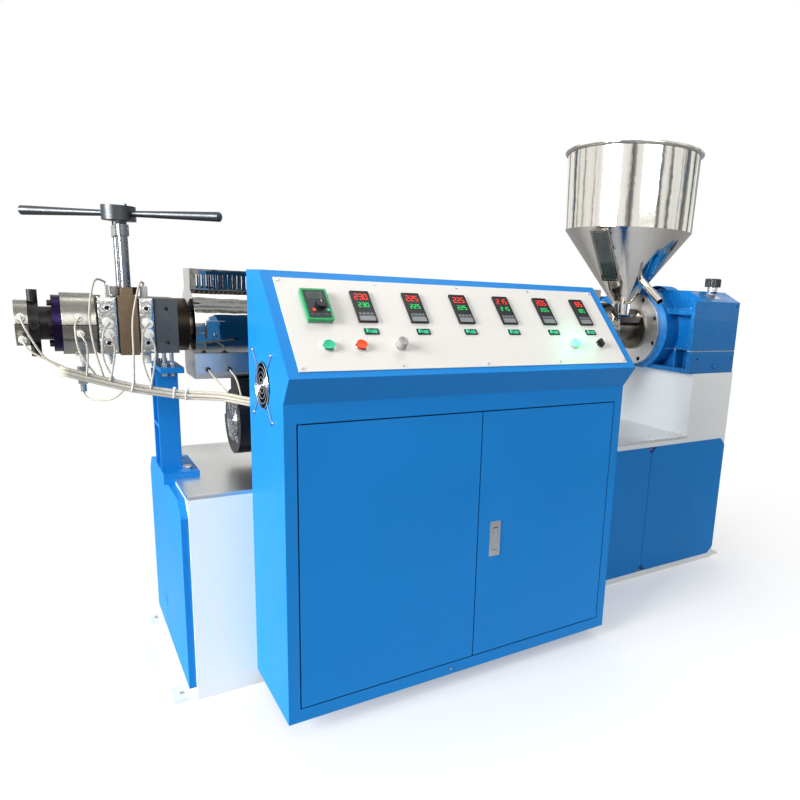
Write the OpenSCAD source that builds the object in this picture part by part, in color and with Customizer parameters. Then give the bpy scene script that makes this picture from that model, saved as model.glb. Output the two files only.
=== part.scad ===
// Compounding extruder: single screw, gearbox at the right end, die head at the left end,
// and a control cabinet bolted along the front of the base frame.
// X runs along the screw, -Y is the operator's side, Z is up. The origin lies on the
// floor, under the middle of the base frame and under the axis of the screw.

/* [Machine] */
// Height of the screw axis above the gearbox plinth
shaft_rise = 157; // [150:1:170]

/* [Base frame] */
// Length of the base frame
base_l = 2116; // [2100:1:2300]
// Width of the base frame
base_w = 563; // [560:1:640]
// Height of the deck above the floor
deck_h = 568; // [540:1:580]
// Height of the raised gearbox box above the floor
plinth_h = 821; // [818:1:822]
// Length of the raised gearbox box
plinth_l = 246; // [244:1:270]
// Wall thickness of the welded frame
frame_t = 5; // [4:0.5:8]
// Depth of the folded edge of the stainless deck
deck_edge = 10; // [8:1:14]
// Depth of the left end panel
end_panel_t = 18; // [12:1:24]
// Hole radius of the floor lugs
lug_hole_r = 9; // [6:0.5:11]

/* [Support post] */
// Width of the H section post
post_w = 53; // [48:1:60]
// Depth of the H section post
post_d = 100; // [90:1:120]
// Thickness of the top plate and of the foot plate
post_plate_t = 15; // [12:1:18]

/* [Control cabinet] */
// Width of the cabinet
cab_w = 1035; // [1020:1:1060]
// Depth of the cabinet below the console
cab_d = 287; // [280:1:320]
// Gap between the cabinet and the floor
cab_clear = 45; // [20:1:60]
// Height of the cabinet's top
cab_top = 1132; // [1100:1:1160]
// Height of the knee, where the sloped console begins
knee_h = 904; // [890:1:920]
// How far the knee stands out in front of the doors
knee_out = 45; // [30:1:60]
// Depth of the flat top
top_depth = 116; // [100:1:130]
// Thickness of the cabinet sheet
cab_sheet = 2.5; // [2:0.5:3]
// Distance from the left end of the base to the cabinet
cab_inset = 158; // [120:1:200]
// Gap round each door
door_gap = 3; // [2.8:0.1:4]
// Thickness of a folded door
door_t = 16; // [14:1:20]

/* [Console] */
// Width of a temperature controller
ctrl_w = 48; // [44:1:52]
// Height of a temperature controller
ctrl_h = 96; // [90:1:100]
// Distance from one controller to the next
ctrl_pitch = 139.6; // [130:0.2:145]
// Radius of a push button cap
button_r = 11; // [9:0.5:13]
// Travel of a push button
button_travel = 4; // [2:0.5:5]
// Side of the square cabinet fan
fan_side = 120; // [110:1:124]

/* [Screw and barrel] */
// Diameter of the extruder screw
screw_d = 55; // [45:1:60]
// Pitch of the screw flight
screw_pitch = 60; // [55:1:80]
// Outside diameter of the barrel
barrel_d = 92; // [88:1:96]
// Outside radius of the barrel shroud
cover_r = 107; // [100:1:112]
// Distance from the base's left end to the left end of the shroud
cover_inset = 68; // [60:1:90]
// Width of the slotted vent box
vent_w = 90; // [70:1:100]
// Height of the vent box top above the axis
vent_rise = 152; // [145:1:165]

/* [Die head] */
// Side of the square blocks of the head
block_s = 150; // [146:1:158]
// Length of the adapter block next to the barrel
adapter_l = 54; // [45:1:65]
// Length of the round flange at the barrel end
round_flange_l = 29; // [24:1:34]
// Length of the right heater block
heater_b_l = 40; // [36:1:46]
// Length of the screen changer body
changer_l = 44; // [42:1:50]
// Length of the left heater block
heater_a_l = 49; // [44:1:54]
// Length of the band heater
band_l = 74; // [66:1:84]
// Thickness of the die flange
die_flange_l = 18; // [14:1:24]
// Length of the die neck
die_neck_l = 27; // [20:1:36]
// Thickness of the centring ring
die_ring_l = 22; // [18:1:28]
// Length of the die end with its heater
die_end_l = 28; // [24:1:36]
// Radius of the melt channel at the outlet
outlet_r = 12; // [8:0.5:14]

/* [Screen changer] */
// Travel of the screen slide
slide_travel = 115; // [90:1:118]
// Rise of the slide for each turn of the handle
thread_lead = 8; // [4:0.5:12]
// Diameter of the lifting screw
lift_d = 24; // [20:1:26]
// Diameter of the two columns
column_d = 24; // [20:1:26]
// Distance of each column from the axis
column_y = 55; // [54:1:58]
// Height of the crosshead underside above the axis
crosshead_rise = 223; // [220:1:240]
// Distance from the lifting screw to the tip of a handle bar
handle_reach = 277; // [220:1:290]
// Angle of the handle as it stands in the photograph
handle_angle = -41; // [-90:1:90]

/* [Feed and hopper] */
// Distance from the base's right end to the hopper axis
hopper_inset = 399; // [392:1:404]
// Radius of the hopper at its rim
hopper_r = 256; // [240:1:262]
// Height of the hopper rim above the screw axis
rim_rise = 674; // [620:1:720]
// Height of the joint between cylinder and cone above the screw axis
cone_rise = 383; // [350:1:400]
// Radius of the hopper at that joint
cone_r = 250; // [235:1:252]
// Height of the joint between cone and neck above the screw axis
neck_rise = 102; // [98:1:112]
// Radius of the hopper neck
neck_r = 37; // [34:1:40]
// Thickness of the hopper sheet
hopper_t = 2; // [1.5:0.5:3]
// Side of the square feed slab
slab_s = 120; // [114:1:124]

/* [Gearbox and drive] */
// Radius of the machined gearbox flange
gear_flange_r = 145; // [138:1:147]
// Thickness of the machined gearbox flange
gear_flange_t = 28; // [24:1:30]
// Radius of the thrust housing
housing_r = 166; // [160:1:166]
// Height of the joint between case and cover above the screw axis
seam_rise = 83; // [72:1:92]
// Height of the gearbox top above the screw axis
gear_top_rise = 166; // [156:1:182]
// Module of the output gear pair
gear_module = 5; // [5:1:5]
// Teeth of the output gear
bull_teeth = 48; // [48:1:48]
// Teeth of the layshaft pinion
lay_pinion_teeth = 13; // [13:1:13]
// Module of the input gear pair
input_module = 3; // [3:1:3]
// Teeth of the layshaft wheel
lay_wheel_teeth = 36; // [36:1:36]
// Teeth of the input pinion
input_teeth = 12; // [12:1:12]
// Pitch radius of the driven pulley
driven_pulley_r = 65; // [60:1:68]
// Pitch radius of the motor pulley
motor_pulley_r = 50; // [45:1:60]
// Height of the motor axis above the floor
motor_h = 262; // [255:1:280]

/* [Blower] */
// Outside radius of the blower casing
blower_r = 104; // [96:1:106]
// Width of the blower casing
blower_w = 86; // [70:1:100]

/* [Heater cables] */
// Radius of a heater cable
cable_r = 4.5; // [3:0.5:6]
// Radius of a heater lead
lead_r = 2.4; // [1.8:0.2:3]

// Counts and tolerances
$fn = 48;
fn_hull = 32;
eps = 0.5;
over = 2;
run_gap = 0.05;
seat_gap = 0.3;

// Heights above the floor
axis_h = plinth_h + shaft_rise;
rim_h = axis_h + rim_rise;
cone_top_h = axis_h + cone_rise;
neck_top_h = axis_h + neck_rise;
seam_h = axis_h + seam_rise;
gear_top_h = axis_h + gear_top_rise;

// Colours for the plain view
blue_c = "#1f7fd0";
white_c = "#e9e9e4";
steel_c = "#b9bcc0";
bright_c = "#d5d8db";
dark_c = "#3a3b3e";
brown_c = "#84786c";
purple_c = "#3b2c45";

// Base frame
bx0 = -base_l / 2;
bx1 = base_l / 2;
by = base_w / 2;
plinth_x = bx1 - plinth_l;
deck_sheet = 3;
frame_h = deck_h - deck_edge;
pad_t = 14;
rail_w = 60;
panel_t = 3;
panel_cut = 28;
panel_low = 24;
panel_high = 540;
panel_air = 2;
end_low = 36;
end_high = 552;
end_cut = 42;
end_side = 4;
end_slot_w = 7;
end_slot_l = 31;
end_slot_y = -58;
end_slot_z = 125;
lug_l = 57;
lug_w = 66;
lug_t = 8;
lug_y = 240;
motor_y = 172;
shelf_t = 10;
shelf_l = 360;

// Support post
post_flange_t = 8;
post_web_t = 7;
post_x = -1058;
foot_w = 194;
foot_leg_t = 28;
foot_leg_h = 15.7;
foot_right = -995;
foot_left = bx0 - foot_leg_t - seat_gap;
top_plate_w = 58;
top_plate_len = 172;
top_plate_drop = 109;
top_plate_h = axis_h - top_plate_drop;
post_stiff_h = 700;
stud_r = 8;
stud_y = 62;
stud_nut_r = 13;
stud_nut_h = 9;

// Cabinet
cx0 = bx0 + cab_inset;
cx1 = cx0 + cab_w;
cyb = -by;
cyf = cyb - cab_d;
knee_drop = 62;
knee_y = cyf - knee_out;
slope_y = cyb - top_depth;
slope_a = atan2(cab_top - knee_h, slope_y - knee_y);
door_side = 29;
door_low = 79;
door_high = 796;
door_split_share = 0.51;
door_x0 = cx0 + door_side;
door_x1 = cx1 - door_side;
door_mid = cx0 + cab_w * door_split_share;
pivot_in = 6;
pivot_r = 3;
pivot_l = 10;
door_skin = 2;
door_rim = 22;
pivot_block = 20;
lock_w = 36;
lock_h = 103;
lock_x = door_mid + 57;
lock_z = 428;
lock_deep = 14;
lever_w = 16;
lever_l = 62;
lever_t = 5;
lever_pin_r = 2;
fan_y = -410;
fan_drop = 41;
fan_z = knee_h - fan_drop;
fan_t = 38;
fan_bore_r = 57;
fan_hub_r = 22;
fan_lug_r = 78;
wire_r = 1.3;
ground_stud_x = -445;
ground_stud_z = 64;

// Console
plate_side = 26;
plate_low = 18;
plate_len = 273;
plate_t = 2;
window_in = 14;
screw_in = 9;
screw_head_r = 3.2;
screw_head_t = 1.6;
ctrl_x = 226.2;
ctrl_s = 204.7;
ctrl_bezel_t = 6;
ctrl_body = 70;
ctrl_in = 2;
row_s = 129.5;
rocker_frame_w = 36;
rocker_frame_h = 17;
rocker_w = 29;
rocker_h = 11;
rocker_tip = 8;
rocker_lip_t = 2.4;
rocker_depth = 20;
rocker_pin_r = 1.4;
button_s = 85.5;
start_x = 108.4;
stop_x = 187;
knob_x = 288.6;
lamp_x = 837;
selector_x = 935.4;
bezel_r = 15;
bezel_t = 5;
bezel_body = 26;
cap_out = 9;
cap_in = 8;
knob_r = 14;
knob_t = 17;
spindle_r = 3;
spindle_l = 16;
knob_air = 0.4;
knob_out = 12;
pad_x = 106.5;
pad_s = 200.5;
pad_w = 63;
pad_h = 94;
pad_out = 14;
pad_corner = 4;
dial_r = 12.5;
dial_x = 8;
dial_s = -3;
key_r = 4.4;
key_travel = 1.2;
key_s = -19;
run_key_x = -11;
stop_key_x = 23;

// Cabinet equipment
gear_plate_t = 2.5;
gear_plate_x0 = 60;
gear_plate_off = 14;
gear_plate_low = 120;
gear_plate_high = 770;
drive_w = 190;
drive_h = 320;
drive_d = 150;
duct_w = 40;
duct_d = 55;
contactor_w = 45;
contactor_h = 82;
contactor_d = 80;
contactor_n = 6;
breaker_w = 90;
breaker_h = 150;
breaker_d = 75;

// Barrel line, from right to left
flange_x = 733;
feed_x0 = 590;
barrel_flange_t = 14;
head_x = -1027;
adapter_x = head_x - adapter_l;
block_b_x = adapter_x - heater_b_l;
changer_x = block_b_x - changer_l;
block_a_x = changer_x - heater_a_l;
band_x = block_a_x - band_l;
die_flange_x = band_x - die_flange_l;
neck_x = die_flange_x - die_neck_l;
ring_x = neck_x - die_ring_l;
die_x = ring_x - die_end_l;
bore_r = screw_d / 2;
barrel_r = barrel_d / 2;
melt_r = 16;
round_flange_r = 71;
adapter_s = 142;
head_core_r = 66;
band_r = 77.5;
die_flange_r = 70.5;
neck_r_die = 41;
ring_r = 51;
die_r = 46;
die_heater_r = 56;
bolt_r = 11;
bolt_rise = 31;
hex_key_r = 5.5;
cap_bolt_r = 6;
cap_bolt_h = 9;
cap_bolt_pcd = 58;
plate_t_heat = 5;
plate_in = 4;
heat_hole_r = 5;
terminal_r = 12;
terminal_l = 20;
terminal_step = 26;
terminal_rise = 6;
terminal_hole_r = 3;
top_terminal_r = 9;
top_terminal_l = 30;
terminal_foot = 5;
sensor_x = -1250;
sensor_sleeve_r = 11;
sensor_hex_r = 11;
sensor_tip_r = 7;
sensor_sleeve_l = 32;
sensor_hex_l = 46;
sensor_tip_l = 20;

// Screen changer
changer_mid = changer_x + changer_l / 2;
slide_t = 22;
slide_w = 72;
slide_bore_r = 28;
slide_low = -40;
slide_neck = block_s / 2;
collar_r = 34;
collar_h = 20;
collar_air = 1;
boss_w = 28;
boss_d = 34;
boss_h = 21;
crosshead_w = 31;
crosshead_h = 27;
crosshead_len = 146;
stud_top_r = 8;
stud_top_h = 10;
hub_r = 40;
hub_h = 36;
hub_lift = 12;
nut_boss_r = 17;
hub_z = axis_h + crosshead_rise + crosshead_h + hub_lift;
bar_r0 = 7.5;
bar_r1 = 12;
bar_chamfer = 3;
thread_pitch = 4;
thread_deep = 1.6;
set_screw_r = 3;
set_screw_h = 6;
breaker_t = 12;
breaker_hole_r = 2;
breaker_ring = 7;
journal_r = 8;
journal_h = 14;

// Shroud and heaters
cover_x0 = bx0 + cover_inset;
cover_x1 = 560;
cover_t = 2;
cover_low = 73;
vent_low = 92;
slot_pitch = 12.6;
slot_w = 6;
slot_low = 101;
slot_high = 138;
slot_n = 14;
zone_n = 3;
zone_pitch = 500;
zone_x = -835;
zone_l = 340;
heater_r = 74;
fin_t = 6;
fin_n = 14;
heater_in_r = 60;
trough_y = 80;
trough_knee = 128;
trough_low = 144;
trough_foot_y = 66;
latch_x = -940;
latch_z = 970;
latch_w = 50;
latch_t = 14;

// Blower
blower_x = -882;
blower_z = 700;
blower_eye_r = 62;
blower_sheet = 2.5;
blower_motor_r = 46;
blower_motor_l = 90;
blower_shaft_r = 6;
blower_neck_w = 84;
blower_grow_share = 0.16;
wheel_r = 78;
wheel_blades = 20;
wheel_ring_t = 4;
wheel_plate_t = 3;
blade_t = 2;
blade_d = 16;
wheel_air = 6;
foot_t = 4;

// Feed section
hopper_x = bx1 - hopper_inset;
slab_t = 24;
slab_rise = 52;
slab_top = axis_h + slab_rise;
feed_collar_r = 82;
feed_collar_l = 9;
throat_r = 30;
hopper_plate_t = 8;
hopper_plate_s = 128;
roll_r = 7;
window_a = -160;
window_w = 75;
window_l = 226;
window_deep = 14;
window_frame = 9;
window_from = 113;
drain_a = -90;
drain_r = 14;
drain_wall = 1.5;
drain_l = 128;
drain_rise = 92;
drain_h = neck_top_h + drain_rise;
cone_a = atan2(cone_top_h - neck_top_h, cone_r - neck_r);

// Gearbox
case_x0 = 781;
case_in = 5;
case_x1 = bx1 - case_in;
web_deep = 52;
web_t = 18;
wall_x = case_x0 + web_deep;
case_wall_l = 74;
house_x = flange_x + gear_flange_t;
case_y = 280;
case_t = 12;
case_recess = 20;
case_foot_h = 18;
case_rib_t = 8;
case_rib_n = 5;
cover_cut_y = 80;
cover_cut_z = 39;
seam_lip = 10;
seam_lip_t = 14;
boss_in_r = 42;
boss_cup_r = 28;
boss_cup_l = 20;
flange_bolt_n = 8;
flange_pcd_r = 130;
flange_hole_r = 9;
foot_bolt_r = 6;
foot_in_x = 41;
foot_bolt_x = [case_x0 + foot_in_x, case_x1 - foot_in_x];
breather_x = 983;
breather_y = -190;
breather_r = 30;
breather_h = 33;
breather_neck_r = 20;
breather_neck_h = 19;

// Gear train
pressure_a = 25;
addendum_share = 0.8;
dedendum_share = 1.15;
backlash_share = 0.08;
flank_n = 3;
bull_pr = gear_module * bull_teeth / 2;
lay_pr = gear_module * lay_pinion_teeth / 2;
wheel_pr = input_module * lay_wheel_teeth / 2;
input_pr = input_module * input_teeth / 2;
lay_a = 12;
input_a = 44.5;
lay_y = (bull_pr + lay_pr) * cos(lay_a);
lay_z = axis_h + (bull_pr + lay_pr) * sin(lay_a);
input_y = lay_y + (wheel_pr + input_pr) * cos(input_a);
input_z = lay_z + (wheel_pr + input_pr) * sin(input_a);
bull_w = 70;
wheel_w = 40;
bull_x = 870;
wheel_x = 960;
out_shaft_r = 58;
shank_r = 24;
gear_shaft_r = 18;
lay_shaft_r = 22;
bearing_w = 18;
end_bore_gap = 6;

// Belt drive and motor
pulley_x = bx1 + 14;
pulley_w = 46;
groove_n = 3;
groove_pitch = 14;
groove_w = 9;
groove_deep = 8;
belt_t = 7;
belt_w = 8;
guard_t = 2;
guard_depth = 78;
guard_half = 105;
guard_y = 176;
motor_x0 = 715;
motor_l = 330;
motor_r = 104;
motor_fin = 9;
motor_fin_t = 4;
motor_fin_n = 30;
motor_core_r = motor_r - motor_fin;
motor_shaft_r = 14;
motor_foot_w = 210;
motor_foot_l = 240;
motor_foot_t = 12;
motor_cowl_l = 60;
motor_box_w = 90;
motor_box_h = 46;
shelf_h = motor_h - motor_r - motor_foot_t;

// Screw
screw_x0 = head_x + 30;
screw_x1 = 700;
screw_root_r = 19;
slices_per_turn = 8;
screw_gap = 0.08;

// Short names for the common shapes
module at(x, y, z) translate([x, y, z]) children();
module box(x, y, z) cube([x, y, z]);
module rod(r, h, n = $fn) cylinder(r = r, h = h, $fn = n);
// Local frames
module on_axis(x) at(x, 0, axis_h) rotate([0, 90, 0]) children();
module on_x(x, y, z) at(x, y, z) rotate([0, 90, 0]) children();
module on_front(x, y, z) at(x, y, z) rotate([90, 0, 0]) children();
module on_slope(x, s, out = 0) at(cx0 + x, knee_y, knee_h) rotate([slope_a, 0, 0])
    at(0, s, out) children();

module block(x, l, s) at(x, -s / 2, axis_h - s / 2) box(l, s, s);

module tube(r, bore, h) difference() {
  rod(r, h);
  at(0, 0, -over) rod(bore, h + 2 * over);
}

module socket_bolt(r, h, key) difference() {
  rod(r, h);
  at(0, 0, h - key) rod(key, key + over, 6);
}

module hex_nut(r, h, bore) difference() {
  rod(r, h, 6);
  at(0, 0, -over) rod(bore, h + 2 * over);
}

// Outline of the cabinet seen from its left side, drawn in by w
module cabinet_outline(w) polygon([[cyb - w, cab_clear + w], [cyf + w, cab_clear + w],
  [cyf + w, knee_h - knee_drop + w * tan(slope_a / 4)], [knee_y + w * 1.15, knee_h],
  [slope_y - w * tan(slope_a / 2), cab_top - w], [cyb - w, cab_top - w]]);

module along_x(x0, x1) at(x0, 0, 0) rotate([90, 0, 90]) linear_extrude(height = x1 - x0) children();

// Base frame with its raised gearbox box, panel openings and motor shelf
panel_x0 = [bx0 + rail_w, cx1 + rail_w / 2, (cx1 + rail_w / 2 + bx1) / 2];
panel_w = bx1 - (cx1 + rail_w / 2 + bx1) / 2;
rear_n = 4;
rear_w = (base_l - rail_w) / rear_n;

module base_frame() color(white_c) {
  difference() {
    union() {
      at(bx0, -by, 0) box(base_l, base_w, frame_h);
      at(plinth_x, -by, 0) box(plinth_l, base_w, plinth_h);
    }
    at(bx0 + frame_t, -by + frame_t, -over)
      box(base_l - 2 * frame_t, base_w - 2 * frame_t, frame_h - frame_t + over);
    at(plinth_x + frame_t, -by + frame_t, frame_h - 2 * frame_t)
      box(plinth_l - 2 * frame_t, base_w - 2 * frame_t, plinth_h - pad_t - frame_h + 2 * frame_t);
    // front opening behind the right panels, and the cable opening behind the cabinet
    at(cx1 + rail_w, -by - over, rail_w)
      box(bx1 - cx1 - 2 * rail_w, frame_t + 2 * over, panel_high - 2 * rail_w);
    at(cx0 + rail_w * 2, -by - over, rail_w * 2)
      box(cab_w - rail_w * 4, frame_t + 2 * over, panel_high - 4 * rail_w);
    // rear openings
    for (i = [0 : rear_n - 1]) at(bx0 + rail_w + i * rear_w, by - frame_t - over, rail_w)
        box(rear_w - rail_w, frame_t + 2 * over, panel_high - 2 * rail_w);
    // left end opening
    at(bx0 - over, -by + rail_w, rail_w)
      box(frame_t + 2 * over, base_w - 2 * rail_w, panel_high - 2 * rail_w);
    // shaft opening in the right end wall
    on_x(bx1 - frame_t - over, motor_y, motor_h) rod(motor_shaft_r * 2, frame_t + 2 * over);
    // bolt holes for the gearbox feet
    for (y = [-foot_y, foot_y]) for (x = foot_bolt_x) at(x, y, plinth_h - pad_t - over)
      rod(foot_bolt_r + run_gap, pad_t + 2 * over);
    for (y = [-stud_y, stud_y]) at(foot_right - foot_in, y, frame_h - frame_t - over)
      rod(stud_r + run_gap, frame_t + 2 * over);
  }
  for (x = [bx0 - lug_l, bx1]) for (y = [-lug_y, lug_y]) at(x, y - lug_w / 2, 0) difference() {
      box(lug_l, lug_w, lug_t);
      at(lug_l / 2, lug_w / 2, -over) rod(lug_hole_r, lug_t + 2 * over);
    }
  at(motor_x0 - rail_w / 2, -by + frame_t - eps / 2, shelf_h - shelf_t)
    box(shelf_l, base_w - 2 * frame_t + eps, shelf_t);
}
foot_in = 26;
foot_y = 236;

module deck_plate() color(bright_c) difference() {
  at(bx0, -by, frame_h) box(plinth_x - bx0, base_w, deck_edge);
  at(bx0 + deck_sheet, -by + deck_sheet, frame_h - over)
    box(plinth_x - bx0 - 2 * deck_sheet, base_w - 2 * deck_sheet, deck_edge - deck_sheet + over);
  for (y = [-stud_y, stud_y]) at(foot_right - foot_in, y, frame_h)
    rod(stud_r + run_gap, deck_edge + over);
}

// A cover panel with clipped corners, standing in the XZ plane
module clipped(w, low, high, cut) polygon([[cut, low], [w - cut, low], [w, low + cut], [w, high - cut],
  [w - cut, high], [cut, high], [0, high - cut], [0, low + cut]]);

module end_tray() difference() {
  at(bx0 - end_panel_t, 0, 0) rotate([90, 0, 90]) linear_extrude(height = end_panel_t)
      translate([-by + end_side, 0]) end_shape(0);
  at(bx0 - end_panel_t + panel_t, 0, 0) rotate([90, 0, 90]) linear_extrude(height = end_panel_t)
      translate([-by + end_side, 0]) end_shape(panel_t);
  at(bx0 - end_panel_t - over, -end_slot_y, end_slot_z) box(panel_t + 2 * over, end_slot_w, end_slot_l);
  at(bx0 - end_panel_t - over, -end_slot_y + end_slot_l, end_slot_z)
    box(panel_t + 2 * over, end_slot_w, end_slot_l);
}

module end_shape(t) polygon([[t, end_low + t], [base_w - 2 * end_side - t, end_low + t],
  [base_w - 2 * end_side - t, end_high - end_cut - t / 2],
  [base_w - 2 * end_side - end_cut - t / 2, end_high - t],
  [end_cut + t / 2, end_high - t], [t, end_high - end_cut - t / 2]]);

module guard_shape(r) hull() {
  translate([guard_y, input_z]) circle(r = r, $fn = fn_hull);
  translate([guard_y, motor_h]) circle(r = r, $fn = fn_hull);
}

module cover_panels() color(blue_c) {
  end_tray();
  for (i = [1, 2]) at(panel_x0[i] + panel_air / 2, -by, 0) rotate([90, 0, 0])
    linear_extrude(height = panel_t) clipped(panel_w - panel_air, panel_low, panel_high, panel_cut);
  for (i = [0 : rear_n - 1]) at(bx0 + rail_w / 2 + i * rear_w + panel_air / 2, by + panel_t, 0)
      rotate([90, 0, 0]) linear_extrude(height = panel_t)
        clipped(rear_w - panel_air, panel_low, panel_high, panel_cut);
  // belt guard at the right end, shallow box open towards the frame
  difference() {
    along_x(bx1, bx1 + guard_depth) guard_shape(guard_half);
    along_x(bx1 - over, bx1 + guard_depth - guard_t) guard_shape(guard_half - guard_t);
  }
}

// H section post on its foot, carrying the barrel end
module support_post() color(blue_c) difference() {
  union() {
    for (y = [-post_d / 2, post_d / 2 - post_flange_t]) at(post_x - post_w / 2, y, deck_h)
        box(post_w, post_flange_t, top_plate_h - post_plate_t - deck_h);
    at(post_x - post_web_t / 2, -post_d / 2, deck_h)
      box(post_web_t, post_d, top_plate_h - post_plate_t - deck_h);
    at(post_x - post_w / 2, -post_d / 2, post_stiff_h) box(post_w, post_d, post_flange_t);
    at(post_x + top_plate_off - top_plate_w / 2, -top_plate_len / 2, top_plate_h - post_plate_t)
      box(top_plate_w, top_plate_len, post_plate_t);
    at(foot_left, -foot_w / 2, deck_h) box(foot_right - foot_left, foot_w, post_plate_t);
    at(foot_left, -foot_w / 2, deck_h - foot_leg_h) box(foot_leg_t, foot_w, foot_leg_h + eps);
  }
  for (y = [-stud_y, stud_y]) at(foot_right - foot_in, y, deck_h - over)
    rod(stud_r + run_gap, post_plate_t + 2 * over);
  for (x = post_stud_x) for (y = [-post_stud_y, post_stud_y])
    at(post_x + x, y, top_plate_h - post_plate_t - over)
      rod(post_stud_r + run_gap, post_plate_t + 2 * over);
}
top_plate_off = 9;
post_stud_x = [-7, 11];
post_stud_y = 70;
post_stud_r = 5;
post_nut_r = 8.5;

// Screws, nuts and small bright parts fixed to the frame and the cabinet
plate_screw_n = 5;
screw_step = (cab_w - 2 * plate_side - 2 * screw_in) / (plate_screw_n - 1);
module bright_fittings() color(bright_c) {
  for (i = [0 : plate_screw_n - 1]) for (s = [screw_in, plate_len - screw_in])
    on_slope(plate_side + screw_in + i * screw_step, plate_low + s, plate_t)
      rod(screw_head_r, screw_head_t);
  for (y = [-stud_y, stud_y]) at(foot_right - foot_in, y, frame_h - frame_t) {
    rod(stud_r, deck_edge + frame_t + post_plate_t + stud_nut_h);
    at(0, 0, deck_edge + frame_t + post_plate_t) rod(stud_nut_r, stud_nut_h, 6);
  }
  // levelling studs under the head
  for (x = post_stud_x) for (y = [-post_stud_y, post_stud_y])
    at(post_x + x, y, top_plate_h - post_plate_t - stud_nut_h) {
      rod(post_stud_r, axis_h - adapter_s / 2 - top_plate_h + post_plate_t + stud_nut_h - run_gap);
      for (z = [0, post_plate_t + stud_nut_h]) at(0, 0, z) rod(post_nut_r, stud_nut_h, 6);
    }
  // fan guard screws on the cabinet's left side
  for (y = [-fan_lug_r, fan_lug_r]) for (z = [-fan_lug_r, fan_lug_r])
    on_x(cx0 - fan_lug_t - screw_head_t, fan_y + y, fan_z + z) rod(screw_head_r, screw_head_t);
  // earth stud of the cabinet
  on_front(ground_stud_x, cyf + ground_in, ground_stud_z) rod(screw_head_r, ground_in + ground_out);
  // gearbox foot bolts
  for (y = [-foot_y, foot_y]) for (x = foot_bolt_x)
    at(x, y, plinth_h - pad_t) {
      rod(foot_bolt_r, pad_t + case_foot_h);
      at(0, 0, pad_t + case_foot_h) rod(foot_bolt_r * 1.7, foot_bolt_r, 6);
    }
  // blank plate on the gearbox
  at(plate_x, -case_y + cover_cut_y / 2, (2 * gear_top_h - cover_cut_z) / 2)
    rotate([atan2(cover_cut_z, cover_cut_y), 0, 0]) at(0, -label_h / 2, 0) box(label_w, label_h, label_t);
  // hopper plate bolts
  for (x = [-hopper_bolt, hopper_bolt]) for (y = [-hopper_bolt, hopper_bolt])
    at(hopper_x + x, y, slab_top + hopper_plate_t) {
      rod(hopper_head_r, hopper_head_h, 6);
      at(0, 0, -hopper_plate_t - hopper_bolt_in)
        rod(hopper_bolt_r, hopper_plate_t + hopper_bolt_in + eps);
    }
  // hexagon body and tip of the melt sensor
  at(sensor_x, 0, axis_h - band_r - sensor_sleeve_l - sensor_hex_l) rod(sensor_hex_r, sensor_hex_l, 6);
  at(sensor_x, 0, axis_h - band_r - sensor_sleeve_l - sensor_hex_l - sensor_tip_l)
    rod(sensor_tip_r, sensor_tip_l);
}
fan_lug_t = 4;
plate_x = 895;
label_w = 66;
label_h = 44;
label_t = 1;
ground_in = 6;
ground_out = 5;
hopper_bolt = 52;
hopper_head_r = 7;
hopper_head_h = 5;
hopper_bolt_r = 3.5;
hopper_bolt_in = 12;

// Black socket screws of the head
module head_bolts() color(dark_c) {
  for (a = [0 : 90 : 270]) at(ring_x + die_ring_l / 2, 0, axis_h) rotate([a, 0, 0])
    at(0, 0, ring_r) socket_bolt(bolt_r, bolt_rise, hex_key_r);
  for (a = [30 : 60 : 330]) at(die_flange_x, 0, axis_h) rotate([a, 0, 0])
    at(0, 0, cap_bolt_pcd) rotate([0, -90, 0]) socket_bolt(cap_bolt_r, cap_bolt_h, cap_bolt_r / 2);
  for (y = [-1, 1]) for (z = [-1, 1])
    on_x(head_x + round_flange_l, y * flange_bolt_off, axis_h + z * flange_bolt_off)
      socket_bolt(cap_bolt_r, flange_bolt_h, cap_bolt_r / 2);
  for (y = [-column_y, column_y]) at(changer_mid, y, axis_h + crosshead_rise + crosshead_h)
      rod(stud_top_r * 1.4, stud_top_h, 6);
  for (y = [-1, 1]) for (z = [-1, 1])
    on_x(feed_x0 - cap_bolt_h, y * feed_bolt_off, axis_h + z * feed_bolt_off)
      rod(cap_bolt_r, cap_bolt_h);
}
flange_bolt_off = 42;
flange_bolt_h = 7;
feed_bolt_off = 42;

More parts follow.
